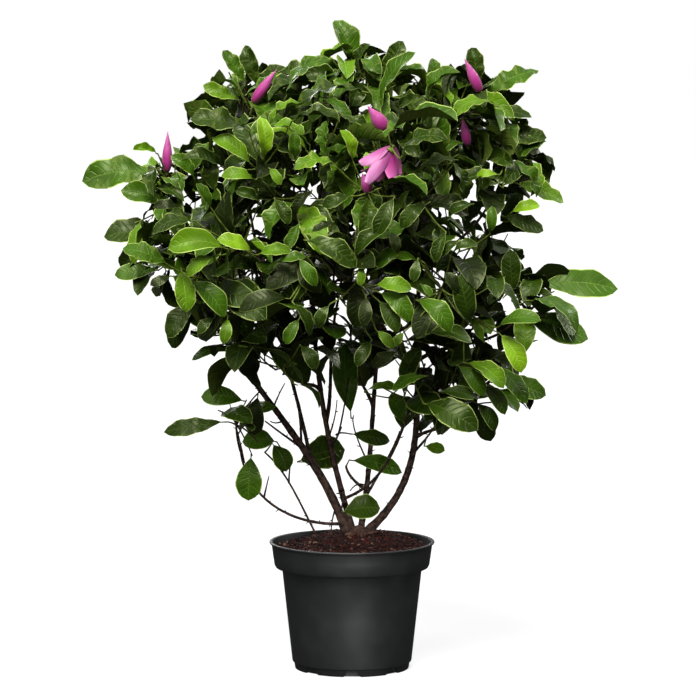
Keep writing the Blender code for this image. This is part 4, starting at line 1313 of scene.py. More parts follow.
# %% One leaf by the rule
LEAF_SHORT, LEAF_LONG, LEAF_LEAST = 106.0, 142.0, 80.0
LEAF_ARCH, LEAF_ARCH_RANGE = 0.07, (0.5, 1.4)
LEAF_SPREAD, LEAF_CLOSING, SPREAD_JITTER, SPREAD_STEP = 62.0, 20.0, 12.0, 3.0  # degrees from the twig
SIDE_JITTER, LEAF_ROLL = 8.0, 45.0
LEAF_OUTWARDS, LEAF_DROOP = 0.2, 0.2
LEAF_TRIES, LEAF_SHRINK = 34, 0.97


def outwards(place):
    """The level way out from the middle of the plant."""
    return Vector((place.x, place.y, 0)).normalized()


def grow_leaf(mass, twig, share, number, rng, taken, others):
    """One leaf from the middle of a twig's side, tilted and shortened until it fits, or None."""
    foot, ahead, _ = twig.place(share)
    out = (foot - mass.centre).normalized()
    look = UP * 0.5 + outwards(foot) * 0.6
    length = rng.uniform(LEAF_SHORT, LEAF_LONG)
    roll = math.radians(rng.uniform(-LEAF_ROLL, LEAF_ROLL))
    arch = LEAF_ARCH * rng.uniform(*LEAF_ARCH_RANGE)
    for trial in range(LEAF_TRIES):
        spread = LEAF_SPREAD - LEAF_CLOSING * share + rng.uniform(-SPREAD_JITTER, SPREAD_JITTER)
        spread = math.radians(spread + SPREAD_STEP * trial)
        side = 360 / TWIG_SIDES * (number + trial + 0.5)
        turn = math.radians(side + rng.uniform(-SIDE_JITTER, SIDE_JITTER))
        along = ahead * math.cos(spread) + twig.spoke(share, turn) * math.sin(spread)
        along = (along + out * LEAF_OUTWARDS + DOWN * LEAF_DROOP).normalized()
        blade = Blade(foot, along, face_of(along, look, roll), length * MM, arch)
        shape = blade.plain()
        if all(mass.holds(place) for place in shape[0]):
            tree = tree_of([shape])
            if not tree.overlap(taken) and not any(tree.overlap(other) for other in others):
                return blade, tree
        length = max(length * LEAF_SHRINK, LEAF_LEAST)
    return None


# %% Grow the large leaves
LIMB_CLEAR = 1.0  # mm of room that leaves keep from wood
FIRST_LEAF = 0.35  # leaves grow from here on along a twig


def grow_outer(mass, stem, obstacles):
    """The single outer leaves of a mass, each on its twig, where they meet nothing."""
    twigs, blades, trees = [], [], []
    for foot, tip, *rest in OUTER_LEAVES.get(mass.name, ()):
        start, ahead, _ = stem.place(OUTER_TWIG)
        twig = twig_between(start, ahead, at(foot))
        blade = blade_between(twig.place(SUNK)[0], at(tip), LEAF_ARCH, *rest)
        shape = blade.plain()
        tree = tree_of([shape])
        held = all(mass.in_cell(place) for place in shape[0])
        if held and not tree.overlap(obstacles) and not tree_of([twig.solid()]).overlap(obstacles):
            twigs.append(twig)
            blades.append(blade)
            trees.append(tree)
    return twigs, blades, trees


def grow_mass(mass, stem, seed, obstacles):
    """The twigs, leaves and blossoms of one mass, by the rule that made the solids."""
    rng = random.Random(seed)
    twigs, blades, trees = grow_outer(mass, stem, obstacles)
    blossoms = []
    for foot, tip, width in BLOSSOMS.get(mass.name, ()):
        start, ahead, _ = stem.place(OUTER_TWIG)
        twigs.append(twig_between(start, ahead, at(foot)))
        foot, tip = twigs[-1].place(SUNK)[0], at(tip)
        blossoms.append((foot, tip, width))
        trees.append(tree_of([plain_bud(foot, tip, width)]))
    placed = len(twigs)
    twigs += grow_twigs(mass, stem, rng, obstacles)
    twig_trees = [tree_of([twig.solid()]) for twig in twigs]
    stem_tree = tree_of([stem.solid()])
    for i, twig in enumerate(twigs[placed:], placed):
        others = twig_trees[:i] + twig_trees[i + 1 :]
        for k in range(mass.leaves):
            share = min(FIRST_LEAF + (1 - FIRST_LEAF) * (k + 1) / mass.leaves, SUNK)
            own = random.Random(seed * 1000 + i * 50 + k)
            near = others + [stem_tree] + trees
            grown = grow_leaf(mass, twig, share, k, own, obstacles, near)
            if grown:
                blades.append(grown[0])
                trees.append(grown[1])
    return twigs, blades, blossoms


stems = {mass.name: mass_stem(mass) for mass in masses}
fixed = [limb.solid(LIMB_CLEAR) for limb in limbs.values()]
for name in ("soil", "root_crown"):
    solid = frame["nodes"][name].data
    faces = [tuple(face.vertices) for face in solid.polygons]
    fixed.append(([corner.co for corner in solid.vertices], faces))
all_twigs, large_blades, all_blossoms = [], [], []
for seed, mass in enumerate(masses, 1):
    near = [other.solid(LIMB_CLEAR) for name, other in stems.items() if name != mass.name]
    twigs, blades, blossoms = grow_mass(mass, stems[mass.name], seed, tree_of(fixed + near))
    all_twigs += twigs
    large_blades += blades
    all_blossoms += blossoms
print("twigs", len(all_twigs), "leaves by the rule of the solids", len(large_blades))

# %% [markdown]
# ## What leaves may not hide
# Buds and flowers stand out of a crown because the leaves part round them. A few spots are
# marked on each blossom, and later on the leaves that show and on the gaps where the white
# backdrop shows through. A leaf that would hide too many spots of one of them gives way.

# %% Guarded places of the view
SPOTS_ALONG = (0.1, 0.3, 0.5, 0.7, 0.9)
SPOTS_ACROSS = (-0.35, 0.0, 0.35)
OPEN_FROM = 30.0  # a blossom wider than this is open
OPEN_ASIDE = 0.7  # an open one's petals hang out to one side, so far as a share of its width
BLOSSOM_HIDDEN = 1  # so many spots of a blossom may not be hidden
BLOSSOM_SPARE = 0.028  # metres: a leaf so little behind a blossom may still arch over it
SPOT_SPARE = 0.004  # metres: a leaf that is no nearer than this before a spot doesn't hide it
GUARD_WIDTH = 1.5  # how much wider a leaf counts here, because its waves reach past the plain blade


class Watch:
    """Spots of the view that stay open, in groups: pixel and distance of each, and a limit."""

    def __init__(self):
        self.pixels = np.zeros((0, 2))
        self.depths = np.zeros(0)
        self.owners = np.zeros(0, int)
        self.limits = []

    def add(self, pixels, depths, limit):
        """Adds a group of spots, of which fewer than a limit may be hidden."""
        self.pixels = np.concatenate([self.pixels, pixels])
        self.depths = np.concatenate([self.depths, depths])
        self.owners = np.concatenate([self.owners, np.full(len(depths), len(self.limits))])
        self.limits.append(limit)

    def hidden_by(self, blade):
        """Whether a leaf would hide too many spots of one group."""
        foot, tip, left, right, _ = blade.plain()[0]
        reach = (right - left) * (GUARD_WIDTH - 1) / 2
        ring, depth = pixels_of([foot, left - reach, tip, right + reach])
        ahead = np.roll(ring, -1, axis=0) - ring
        off = self.pixels[:, None, :] - ring
        turn = ahead[:, 0] * off[..., 1] - ahead[:, 1] * off[..., 0]
        inside = (turn > 0).all(axis=1) | (turn < 0).all(axis=1)
        hidden = self.owners[inside & (self.depths > depth.mean() + SPOT_SPARE)]
        return bool((np.bincount(hidden, minlength=len(self.limits)) >= np.array(self.limits)).any())


watch = Watch()
for foot, tip, width in all_blossoms:
    side = (tip - foot).cross(Vector((0, 1, 0))).normalized()
    across = SPOTS_ACROSS + ((OPEN_ASIDE,) if width > OPEN_FROM else ())
    spots = [foot.lerp(tip, a) + side * b * width * MM for a in SPOTS_ALONG for b in across]
    pixels, depths = pixels_of(spots)
    watch.add(pixels, depths + BLOSSOM_SPARE, BLOSSOM_HIDDEN)
print("guarded blossoms", len(watch.limits))

# %% [markdown]
# ## Leaves that the photograph shows
# A crown looks like this one only if its most visible leaves lie as they do there. These leaves
# are read off the photograph: the pixels of foot and tip, the width that shows, and one of five
# greens. Each is laid on the crown's own surface, where the camera's view through its foot meets
# it, and hangs on a shoot from the nearest twig, so that it holds up from any side.

# %% Leaves read from the photograph
# foot and tip in pixels, the width in pixels that shows, and the green
# its green is the tone it shows there: shaded is painted shade, fresh and young are partly young leaves and
# partly painted light
SEEN_LEAVES = (
    # top
    (364, 77, 370, 44, 7, "deep"), (379, 102, 414, 51, 26, "full"), (284, 101, 328, 56, 22, "full"),
    (369, 93, 294, 101, 26, "deep"), (341, 114, 376, 145, 20, "deep"), (254, 100, 248, 61, 16, "young"),
    (249, 131, 190, 120, 27, "deep"), (252, 165, 213, 136, 34, "fresh"), (263, 159, 261, 117, 18, "young"),
    (268, 126, 303, 102, 18, "fresh"), (296, 161, 294, 132, 14, "full"), (327, 157, 327, 121, 12, "full"),
    (353, 161, 341, 130, 25, "young"), (372, 183, 366, 152, 15, "young"), (341, 171, 294, 166, 18, "fresh"),
    (388, 133, 458, 121, 22, "full"), (400, 159, 447, 136, 20, "deep"), (428, 105, 459, 71, 18, "full"),
    (499, 107, 452, 117, 18, "fresh"), (499, 175, 476, 175, 12, "young"), (503, 188, 452, 188, 20, "deep"),
    (458, 160, 419, 170, 18, "deep"), (376, 190, 428, 190, 16, "full"), (424, 96, 398, 106, 14, "deep"),
    (292, 121, 340, 118, 18, "deep"), (318, 96, 352, 118, 16, "full"),
    # left
    (158, 154, 133, 148, 18, "fresh"), (181, 209, 153, 206, 14, "shaded"), (195, 179, 171, 155, 18, "full"),
    (224, 168, 182, 158, 22, "deep"), (255, 180, 221, 176, 18, "fresh"), (269, 168, 281, 185, 14, "fresh"),
    (274, 198, 289, 224, 20, "deep"), (259, 202, 236, 190, 16, "deep"), (211, 208, 196, 183, 14, "full"),
    (227, 249, 168, 249, 32, "fresh"), (252, 252, 217, 239, 18, "young"), (258, 255, 291, 250, 24, "fresh"),
    (195, 221, 150, 231, 20, "deep"), (168, 265, 123, 246, 22, "full"), (171, 276, 150, 285, 14, "shaded"),
    (181, 268, 187, 312, 20, "fresh"), (214, 256, 186, 275, 16, "fresh"), (190, 280, 225, 317, 24, "full"),
    (215, 317, 198, 333, 16, "deep"), (228, 317, 223, 344, 32, "fresh"), (290, 299, 239, 311, 24, "shaded"),
    # middle
    (312, 190, 296, 214, 18, "shaded"), (352, 196, 322, 206, 22, "deep"), (395, 196, 375, 236, 40, "deep"),
    (418, 174, 368, 186, 18, "full"), (430, 202, 400, 228, 20, "deep"), (446, 232, 436, 262, 18, "deep"),
    (388, 230, 356, 254, 26, "deep"), (398, 256, 392, 232, 14, "shaded"), (304, 240, 356, 268, 26, "deep"),
    (298, 258, 317, 286, 30, "full"), (277, 262, 306, 256, 22, "full"), (362, 264, 360, 286, 18, "fresh"),
    (374, 286, 412, 288, 18, "fresh"), (418, 258, 413, 282, 24, "deep"), (420, 284, 432, 296, 12, "full"),
    (378, 292, 412, 320, 28, "full"), (378, 300, 398, 332, 22, "deep"), (366, 296, 364, 326, 22, "shaded"),
    (416, 300, 452, 330, 30, "full"), (330, 304, 318, 328, 20, "deep"), (292, 302, 312, 336, 14, "deep"),
    (460, 240, 440, 256, 18, "deep"), (452, 252, 478, 244, 20, "deep"), (300, 222, 286, 250, 18, "full"),
    (334, 222, 312, 232, 20, "shaded"), (474, 204, 448, 216, 16, "deep"), (404, 332, 394, 346, 12, "fresh"),
    (300, 318, 284, 344, 16, "full"),
    # right
    (511, 213, 540, 204, 14, "young"), (490, 234, 492, 206, 16, "full"), (526, 301, 582, 328, 22, "full"),
    (497, 328, 541, 320, 20, "full"), (499, 333, 523, 372, 20, "young"), (484, 343, 475, 323, 12, "fresh"),
    (471, 326, 460, 275, 30, "deep"), (458, 296, 446, 272, 14, "shaded"), (464, 363, 505, 387, 20, "fresh"),
    (493, 367, 529, 402, 22, "full"), (425, 335, 472, 343, 20, "deep"), (457, 365, 484, 396, 20, "full"),
    (424, 404, 478, 431, 32, "deep"), (475, 402, 496, 431, 16, "deep"), (480, 385, 505, 415, 18, "deep"),
    (440, 392, 476, 398, 24, "deep"), (508, 354, 476, 362, 14, "shaded"),
    # low
    (364, 392, 398, 388, 13, "fresh"), (428, 376, 392, 390, 16, "full"), (398, 352, 370, 366, 18, "shaded"),
    (372, 340, 356, 366, 26, "deep"), (376, 330, 394, 348, 14, "fresh"), (294, 384, 320, 408, 10, "deep"),
    (239, 346, 308, 380, 19, "deep"), (300, 345, 316, 370, 16, "deep"), (404, 398, 418, 346, 18, "deep"),
)
# the low leaves, which hang singly on bare wood: limb, mm behind it, foot, tip, width and green
# their greens are read the same way: shaded is painted shade, fresh partly painted light
LOW_LEAVES = (
    ("stem_middle", -20, (351, 418), (345, 342), 22, "full"),
    ("stem_right", 0, (401, 431), (406, 396), 19, "deep"),
    ("stem_right", -8, (424, 446), (445, 450), 11, "fresh"),
    ("stem_low_left", -10, (277, 442), (242, 440), 21, "full"),
    ("shoot_left", -10, (272, 443), (288, 471), 18, "deep"),
    ("stem_left", -14, (238, 345), (253, 378), 20, "shaded"),
    ("stem_left", -10, (232, 347), (191, 359), 12, "deep"),
    ("stem_centre", 30, (297, 462), (345, 447), 31, "deep"),
    ("stem_middle", -14, (349, 460), (402, 473), 16, "full"),
)
print("leaves read:", len(SEEN_LEAVES), "and low ones:", len(LOW_LEAVES))

# %% Lay them on the crown
SEEN_DEEP = 26.0  # mm that a leaf's foot is sunk below the crown's surface
SEEN_LEAN = (0.05, 0.4)  # how far its tip leans towards the camera, as a share of the length that shows
SEEN_WIDTH = 0.46  # real width of such a leaf, as a share of its length
SEEN_ARCH, LOW_ARCH = (0.1, 0.24), (0.06, 0.16)
SEEN_TRIES, SEEN_STEP = 7, 9.0  # a leaf that meets another is moved inwards by steps of so many mm
LOW_LEAN = 0.012  # metres that a low leaf's tip leans towards the camera
OUTLINE_SPARE = 1.2  # a leaf looks narrower than it is, because it is folded and arched
PIXEL_SIZE = 1.694  # mm at the pot's axis


def seen_blade(foot_pixel, tip_pixel, width, green, rng, deeper):
    """The leaf that shows between two pixels, turned away from the viewer as far as it looks narrow."""
    reach = surface_at(foot_pixel) + (SEEN_DEEP + deeper) * MM
    foot = place_at(foot_pixel, reach)
    across_picture = math.dist(foot_pixel, tip_pixel) * PIXEL_SIZE
    tip = place_at(tip_pixel, reach - across_picture * rng.uniform(*SEEN_LEAN) * MM)
    flat = min(width * PIXEL_SIZE * MM / (SEEN_WIDTH * (tip - foot).length), 1.0)
    roll = math.acos(max(flat, 0.3))
    arch = rng.uniform(*SEEN_ARCH)
    rolled = [blade_between(foot, tip, arch, green, roll=turn) for turn in (roll, -roll)]
    return max(rolled, key=lambda blade: blade.face.z)


def lay_seen_leaves():
    """All leaves that are read from the photograph, each moved inwards until it meets no other."""
    rng = random.Random(23)
    blades, trees = [], []
    for x, y, tip_x, tip_y, width, green in SEEN_LEAVES:
        for step in range(SEEN_TRIES):
            blade = seen_blade((x, y), (tip_x, tip_y), width, green, rng, SEEN_STEP * step)
            tree = tree_of([blade.plain()])
            if not (watch.hidden_by(blade) or any(tree.overlap(other) for other in trees)):
                blades.append(blade)
                trees.append(tree)
                break
    return blades, trees


def nearest(places, aim):
    """The one of some places that is nearest to an aim."""
    return min(places, key=lambda place: (place - aim).length)


def lay_low_leaves():
    """The single low leaves, each as far away as the limb that carries it."""
    rng = random.Random(29)
    blades, starts = [], []
    for limb_name, behind, foot_pixel, tip_pixel, width, green in LOW_LEAVES:
        start = nearest_on(limbs[limb_name], foot_pixel)
        reach = (start - VIEWER).length + behind * MM
        foot, tip = place_at(foot_pixel, reach), place_at(tip_pixel, reach - LOW_LEAN)
        breadth = width * PIXEL_SIZE * MM / (tip - foot).length * OUTLINE_SPARE
        roll, arch = rng.uniform(-0.3, 0.3), rng.uniform(*LOW_ARCH)
        blades.append(blade_between(foot, tip, arch, green, breadth, roll))
        starts.append(nearest(bare_places + [start], foot))
    return blades, starts


seen_blades, seen_trees = lay_seen_leaves()
low_blades, low_starts = lay_low_leaves()
print("leaves read from the photograph", len(seen_blades), "and low ones", len(low_blades))

# %% Shoots that carry them
SHOOT_THICK, SHOOT_THIN = 3.3, 2.3
SEEN_SAG, LOW_SAG = 0.12, 0.1  # how far a shoot hangs through, as a share of its length


def shoot_of(start, bend, end):
    """A thin green shoot."""
    return Limb((start, bend, end), 4, SHOOT_THICK, SHOOT_THIN, 5)


def shoot_to(foot, start, sag):
    """A shoot from a place to the foot of a leaf, hanging through a little."""
    return shoot_of(start, start.lerp(foot, 0.5) + DOWN * (foot - start).length * sag, foot)


twig_places = [twig.place(share)[0] for twig in all_twigs for share in (0.4, 0.6, 0.8, 0.95)]
all_shoots = [shoot_to(blade.foot, nearest(twig_places, blade.foot), SEEN_SAG) for blade in seen_blades]
all_shoots += [shoot_to(blade.foot, start, LOW_SAG) for blade, start in zip(low_blades, low_starts)]
seen_blades += low_blades
seen_trees += [tree_of([blade.plain()]) for blade in low_blades]
print("shoots to leaves read from the photograph", len(all_shoots))

# %% [markdown]
# ### What other leaves may not hide
# The leaves of the rule fill the crown between and behind those leaves. One that would cover a
# leaf that shows in the photograph, or a gap where the photograph shows the white behind, gives
# way to it.

# %% Guarded leaves and gaps
# centre and radius in pixels of the gaps where the photograph shows the backdrop through the crown
SKY = (
    (496, 303, 8), (310, 74, 6), (482, 274, 7), (439, 283, 7), (402, 330, 5), (348, 330, 9),
    (320, 345, 5), (382, 377, 7), (258, 238, 7), (516, 305, 5), (173, 170, 4), (187, 206, 5),
    (501, 240, 5), (498, 348, 5), (174, 259, 5), (478, 222, 5), (342, 299, 5), (317, 190, 5),
    (172, 233, 5), (268, 378, 13), (292, 412, 11), (281, 492, 14), (307, 486, 14), (386, 485, 12),
    (383, 423, 11), (358, 470, 9), (359, 425, 8), (314, 418, 7), (363, 384, 6), (342, 425, 6),
    (383, 450, 6), (275, 423, 5), (312, 389, 5), (241, 378, 5), (410, 388, 4), (427, 367, 4),
)
# the same in the notches of the crown's outline, where single leaves stand out
OUTLINE_NOTCHES = (
    (268, 52, 7), (292, 54, 6), (318, 44, 7), (378, 44, 6), (440, 62, 6), (438, 70, 4), (506, 46, 7),
    (212, 82, 6), (192, 92, 6), (176, 108, 8), (152, 124, 9), (118, 144, 8), (122, 192, 9), (140, 210, 6),
    (120, 256, 4), (132, 288, 8), (150, 308, 8), (178, 346, 12), (190, 388, 7), (525, 118, 7),
    (545, 106, 8), (560, 180, 7), (552, 222, 9), (542, 257, 8), (566, 302, 5), (548, 344, 9),
    (520, 408, 8), (508, 438, 8), (205, 446, 9), (214, 440, 7), (372, 402, 7), (338, 400, 5),
    (325, 404, 4), (233, 408, 4),
)
LEAF_SPOTS = [(along, across) for along in (0.3, 0.55, 0.8) for across in (-0.15, 0.0, 0.15)]
LEAF_HIDDEN, SKY_HIDDEN = 3, 2  # so many spots of a leaf or of a gap may not be hidden
SKY_SPOTS, SKY_SHARE = 8, 0.75  # spots round a gap, and how far out

for blade in seen_blades + [blade for blade in large_blades if blade.green not in (None, "none")]:
    side = blade.along.cross(blade.face)
    spots = [blade.foot + (blade.along * a + side * b) * blade.length for a, b in LEAF_SPOTS]
    watch.add(*pixels_of(spots), LEAF_HIDDEN)
turns = np.arange(SKY_SPOTS) * 2 * math.pi / SKY_SPOTS
for x, y, radius in SKY + OUTLINE_NOTCHES:
    wide = SKY_SHARE * radius
    ring = np.stack([x + wide * np.cos(turns), y + wide * np.sin(turns)], axis=1)
    watch.add(np.concatenate([[(x, y)], ring]), np.full(SKY_SPOTS + 1, np.inf), SKY_HIDDEN)
print("guarded places", len(watch.limits))

# %% Leaves that are in place
CROWD_CELL = 0.145  # metres, about as long as the longest leaf


class Crowd:
    """The leaves that are in place, in a grid of cells, so that a new one meets its neighbours alone."""

    def __init__(self):
        self.cells = {}

    def cell_of(self, blade):
        """The cell that a leaf's middle is in."""
        middle = blade.foot + blade.along * blade.length * 0.5
        return tuple(math.floor(value / CROWD_CELL) for value in middle)

    def add(self, blade, tree):
        """Puts a leaf in its place."""
        self.cells.setdefault(self.cell_of(blade), []).append(tree)

    def meets(self, blade, tree):
        """Whether a leaf runs into one that is in place."""
        i, j, k = self.cell_of(blade)
        near = ((i + a, j + b, k + c) for a in (-1, 0, 1) for b in (-1, 0, 1) for c in (-1, 0, 1))
        return any(tree.overlap(other) for cell in near for other in self.cells.get(cell, ()))


crowd = Crowd()
for blade, tree in zip(seen_blades, seen_trees):
    crowd.add(blade, tree)
kept = []
for blade in large_blades:
    tree = tree_of([blade.plain()])
    gives_way = watch.hidden_by(blade) or crowd.meets(blade, tree)
    if blade.green != "none" and (blade.green or not gives_way):
        kept.append((blade, tree))
for blade, tree in kept:
    crowd.add(blade, tree)
kept_blades = [blade for blade, _ in kept]
print("leaves of the rule that stay", len(kept_blades))

# %% [markdown]
# ### Finer shoots
# The solids can't hold as many leaves as the real plant has. So the rule is carried one step
# further: short shoots leave each twig and turn up towards the light, and each shoot has a spiral
# of leaves that close round its tip. They stay in the crown's form, and the lowest masses, which
# are nearly bare, get none.

# %% Finer shoots and their leaves
SHOOTS = 2
SHOOT_LEAVES = 4
FINE_PULL = 2.7 * CROWN_LEAST  # finer growth stays this far inside, so that large leaves stand out
FINE_SHORT, FINE_LONG, FINE_LEAST = 98.0, 138.0, 80.0
FINE_TRIES, FINE_SHRINK = 16, 0.96
FINE_REACH, FINE_REACHES_LEFT = (70, 105), (52.0, 34.0)  # a shoot's length, and shorter ones to try
FINE_SPREAD, FINE_CLOSING, FINE_JITTER, FINE_STEP = 68, 40, 12, 3  # degrees from the shoot
FINE_ARCH = (0.9, 2.6)
BARE_MASSES = ("skirt", "inner", "foot")
wood_tree = tree_of(fixed + [stem.solid(LIMB_CLEAR) for stem in stems.values()])


def grow_shoots(twig, rng):
    """Short shoots that leave a twig at the golden angle and turn up towards the light."""
    shoots = []
    for k in range(SHOOTS):
        share = 0.3 + 0.66 * (k + rng.random()) / SHOOTS
        start, ahead, _ = twig.place(share)
        turn = k * GOLDEN_ANGLE + rng.uniform(0, 2 * math.pi)
        way = (ahead * 0.5 + twig.spoke(share, turn) * 0.7 + UP * 0.45 + outwards(start) * 0.2).normalized()
        for reach in (rng.uniform(*FINE_REACH), *FINE_REACHES_LEFT):
            end = start + way * reach * MM + UP * reach * 0.15 * MM
            if pull_at([end])[0] > FINE_PULL:
                shoots.append(shoot_of(start, start + way * reach * 0.5 * MM, end))
                break
    return shoots


def grow_fine_leaf(shoot, share, number, rng):
    """One leaf on a fine shoot, or None where there is no room."""
    foot, ahead, _ = shoot.place(share)
    look = UP + outwards(foot) * 0.25
    length = rng.uniform(FINE_SHORT, FINE_LONG)
    roll = math.radians(rng.uniform(-LEAF_ROLL, LEAF_ROLL))
    arch = LEAF_ARCH * rng.uniform(*FINE_ARCH)
    for trial in range(FINE_TRIES):
        spread = FINE_SPREAD - FINE_CLOSING * share + rng.uniform(-FINE_JITTER, FINE_JITTER)
        spread = math.radians(spread + FINE_STEP * trial)
        turn = (number + trial) * GOLDEN_ANGLE
        along = ahead * math.cos(spread) + shoot.spoke(share, turn) * math.sin(spread)
        along = (along + outwards(foot) * 0.2 + DOWN * 0.25).normalized()
        blade = Blade(foot, along, face_of(along, look, roll), length * MM, arch, fresh=share)
        shape = blade.plain()
        if (pull_at(shape[0]) > FINE_PULL).all():
            tree = tree_of([shape])
            if not (tree.overlap(wood_tree) or crowd.meets(blade, tree) or watch.hidden_by(blade)):
                crowd.add(blade, tree)
                return blade
        length = max(length * FINE_SHRINK, FINE_LEAST)
    return None


fine_blades = []
fine_rng = random.Random(31)
for mass in masses:
    if mass.name in BARE_MASSES:
        continue
    for twig in [twig for twig in all_twigs if mass.in_cell(twig.place(0.5)[0])]:
        for shoot in grow_shoots(twig, fine_rng):
            shares = [0.35 + 0.65 * (k + 1) / SHOOT_LEAVES for k in range(SHOOT_LEAVES)]
            grown = [grow_fine_leaf(shoot, share, k, fine_rng) for k, share in enumerate(shares)]
            grown = [blade for blade in grown if blade]
            if grown:
                all_shoots.append(shoot)
                fine_blades += grown
all_blades = seen_blades + kept_blades + fine_blades
print("leaves of the finer shoots", len(fine_blades), "all leaves", len(all_blades))

# %% [markdown]
# ## The leaf
# A leaf is a closed blade of a few dozen faces in its own outline: widest just past its middle,
# pointed at both ends, folded along its midrib, arched and often twisted, with a wavy margin. One
# leaf could be shaped with operators and copied a thousand times, but the copies would be alike.
# So its faces are laid out once, as rows and columns, and each leaf bends the same net its own way.

# %% Net of one leaf
SEGMENTS = 12
PETIOLE_SHARE = 0.08
BLADE_THICK = 1.0  # mm at the midrib
COLUMNS = np.array([-1.0, -0.5, 0.0, 0.5, 1.0])
ROWS = np.linspace(0, 1, SEGMENTS + 1)[1:-1]


def leaf_net():
    """The faces of a blade, and where each face's corners lie on the leaf's pattern."""
    last = len(ROWS)
    faces, places = [], []
    for above, columns in ((1, COLUMNS), (0, COLUMNS[::2])):
        skip = 1 if above else 2

        def corner(row, column):
            if row in (-1, last):
                return 0 if row < 0 else 1
            if above or column != 1:
                return 2 + row * len(COLUMNS) + column * skip
            return 2 + last * len(COLUMNS) + row

        def spot(row, column):
            return ((row + 1) / SEGMENTS, 0.0005 + 0.998 * (columns[column] + 1) / 4 + 0.5 * above)

        for row in range(-1, last):
            for column in range(len(columns) - 1):
                ring = [(row, column), (row, column + 1), (row + 1, column + 1), (row + 1, column)]
                if row == -1:
                    ring.pop(1)
                elif row == last - 1:
                    ring.pop(2)
                if not above:
                    ring.reverse()
                faces.append(tuple(corner(*at_row) for at_row in ring))
                places.extend(spot(*at_row) for at_row in ring)
    return faces, places


LEAF_FACES, LEAF_PLACES = leaf_net()
print("faces of one leaf:", len(LEAF_FACES))

# %% Shape of one leaf
OUTLINE_FOOT, OUTLINE_TIP = 1.0, 0.7  # how slowly the blade widens and how pointed it ends
WIDEST = OUTLINE_FOOT / (OUTLINE_FOOT + OUTLINE_TIP)
OUTLINE = (ROWS / WIDEST) ** OUTLINE_FOOT * ((1 - ROWS) / (1 - WIDEST)) ** OUTLINE_TIP
WAVY_FROM, WAVY_ABOVE = 0.62, 0.86  # metres: leaves are slimmer and wavier towards the top
LOW_CALM = 0.4  # a low leaf is older and flatter, so its folds and waves are this much smaller
WIDTHS, SLIMMER = (0.42, 0.5), 0.07  # width as a share of the length, and how much less at the top
CURLS, CURLS_SEEN = (0.0, 0.3), (-0.02, 0.12)  # how far a tip curls under
FOLDS, TWIST, SWAY = (0.15, 0.75), 38, 0.06
WAVES, RIPPLES = (2.2, 3.6), (0.022, 0.034, 0.044, 0.054)  # waves along the margin, and their height


def turned_up(blade, rng):
    """The blade as its stalk turns it, with its upper face more towards the light."""
    if blade.green:
        return blade
    face = face_of(blade.along, blade.face * 0.8 + UP * 0.7, math.radians(rng.gauss(0, 20)))
    return Blade(blade.foot, blade.along, face, blade.length, blade.arch, fresh=blade.fresh)


def spine_of(blade, rows, curl, sway):
    """Points along the midrib, and the way up from it, with its arch, curled tip and sideways bow."""
    along, face = np.array(blade.along), np.array(blade.face)
    side = np.cross(along, face)
    share = PETIOLE_SHARE + (1 - PETIOLE_SHARE) * rows
    tip_part = np.clip((rows - 0.4) / 0.6, 0, 1)
    rise = blade.arch * 4 * share * (1 - share) - curl * tip_part**2
    run = 1 - PETIOLE_SHARE
    climb = blade.arch * 4 * (1 - 2 * share) * run - curl * 3.3 * tip_part
    size = np.hypot(run, climb)
    up = face * (run / size)[:, None] - along * (climb / size)[:, None]
    bow = sway * np.sin(math.pi * rows)
    drawn_in = 1 - 0.25 * curl * tip_part
    points = along * (share * drawn_in)[:, None] + face * rise[:, None] + side * bow[:, None]
    return np.array(blade.foot) + points * blade.length, up, side


def leaf_corners(blade, rng):
    """The corners of one leaf: the net bent along its arch, folded, twisted and waved."""
    high = min(max((blade.foot.z - WAVY_FROM) / (WAVY_ABOVE - WAVY_FROM), 0.0), 1.0)
    wide = blade.length * (blade.breadth or rng.uniform(*WIDTHS) - SLIMMER * high) / 2
    calm = LOW_CALM if blade.breadth else 0.45 + 0.8 * high
    curl = rng.uniform(*(CURLS_SEEN if blade.green else CURLS))
    fold = rng.uniform(*FOLDS) * calm
    twist = math.radians(rng.uniform(-TWIST, TWIST)) * calm
    waves = rng.uniform(*WAVES)
    ripple = blade.length * rng.choice(RIPPLES) * calm
    phases = (rng.uniform(0, 6.28), rng.uniform(0, 6.28))
    middle, up, side = spine_of(blade, ROWS, curl, rng.uniform(-SWAY, SWAY))
    u = COLUMNS[None, :]
    wave = np.sin(2 * math.pi * waves * ROWS[:, None] + np.where(u < 0, phases[0], phases[1]))
    half = (wide * OUTLINE)[:, None]
    swell = np.sin(math.pi * ROWS)[:, None] ** 0.7
    y = half * u * (1 + 0.04 * calm * wave)
    h = half * (fold * np.abs(u) - 0.12 * u**2) + ripple * swell * np.abs(u) * wave
    turn = (twist * (ROWS - 0.25))[:, None]
    level = y * np.cos(turn) - h * np.sin(turn)
    lift = y * np.sin(turn) + h * np.cos(turn)
    upper = middle[:, None, :] + level[..., None] * side + lift[..., None] * up[:, None, :]
    thick = BLADE_THICK * MM * np.clip(OUTLINE, 0.3, 1)[:, None]
    ends = spine_of(blade, np.array([0.0, 1.0]), curl, 0.0)[0]
    return np.concatenate([ends, upper.reshape(-1, 3), middle - up * thick])


# %% [markdown]
# ### Dealing out the greens
# A crown is not one green. Most of the outer leaves are a full dark green, and the youngest, at the
# tips of the shoots, are yellow-green. Leaves deep inside and low down are dealt darker greens, down
# to a nearly black-green, as painted shade, and high ones lighter greens, as painted light from
# above. Each leaf is dealt one plain green by how far out and how high it sits and how near its
# shoot's tip it grew.

# %% Deal the greens and join the leaves
CROWN_MIDDLE = at((0, 0, 760))
CROWN_RADII = at((380, 330, 330))
GREEN_STEPS = ((0.36, "shaded"), (0.66, "deep"), (0.92, "full"), (1.12, "fresh"), (math.inf, "young"))


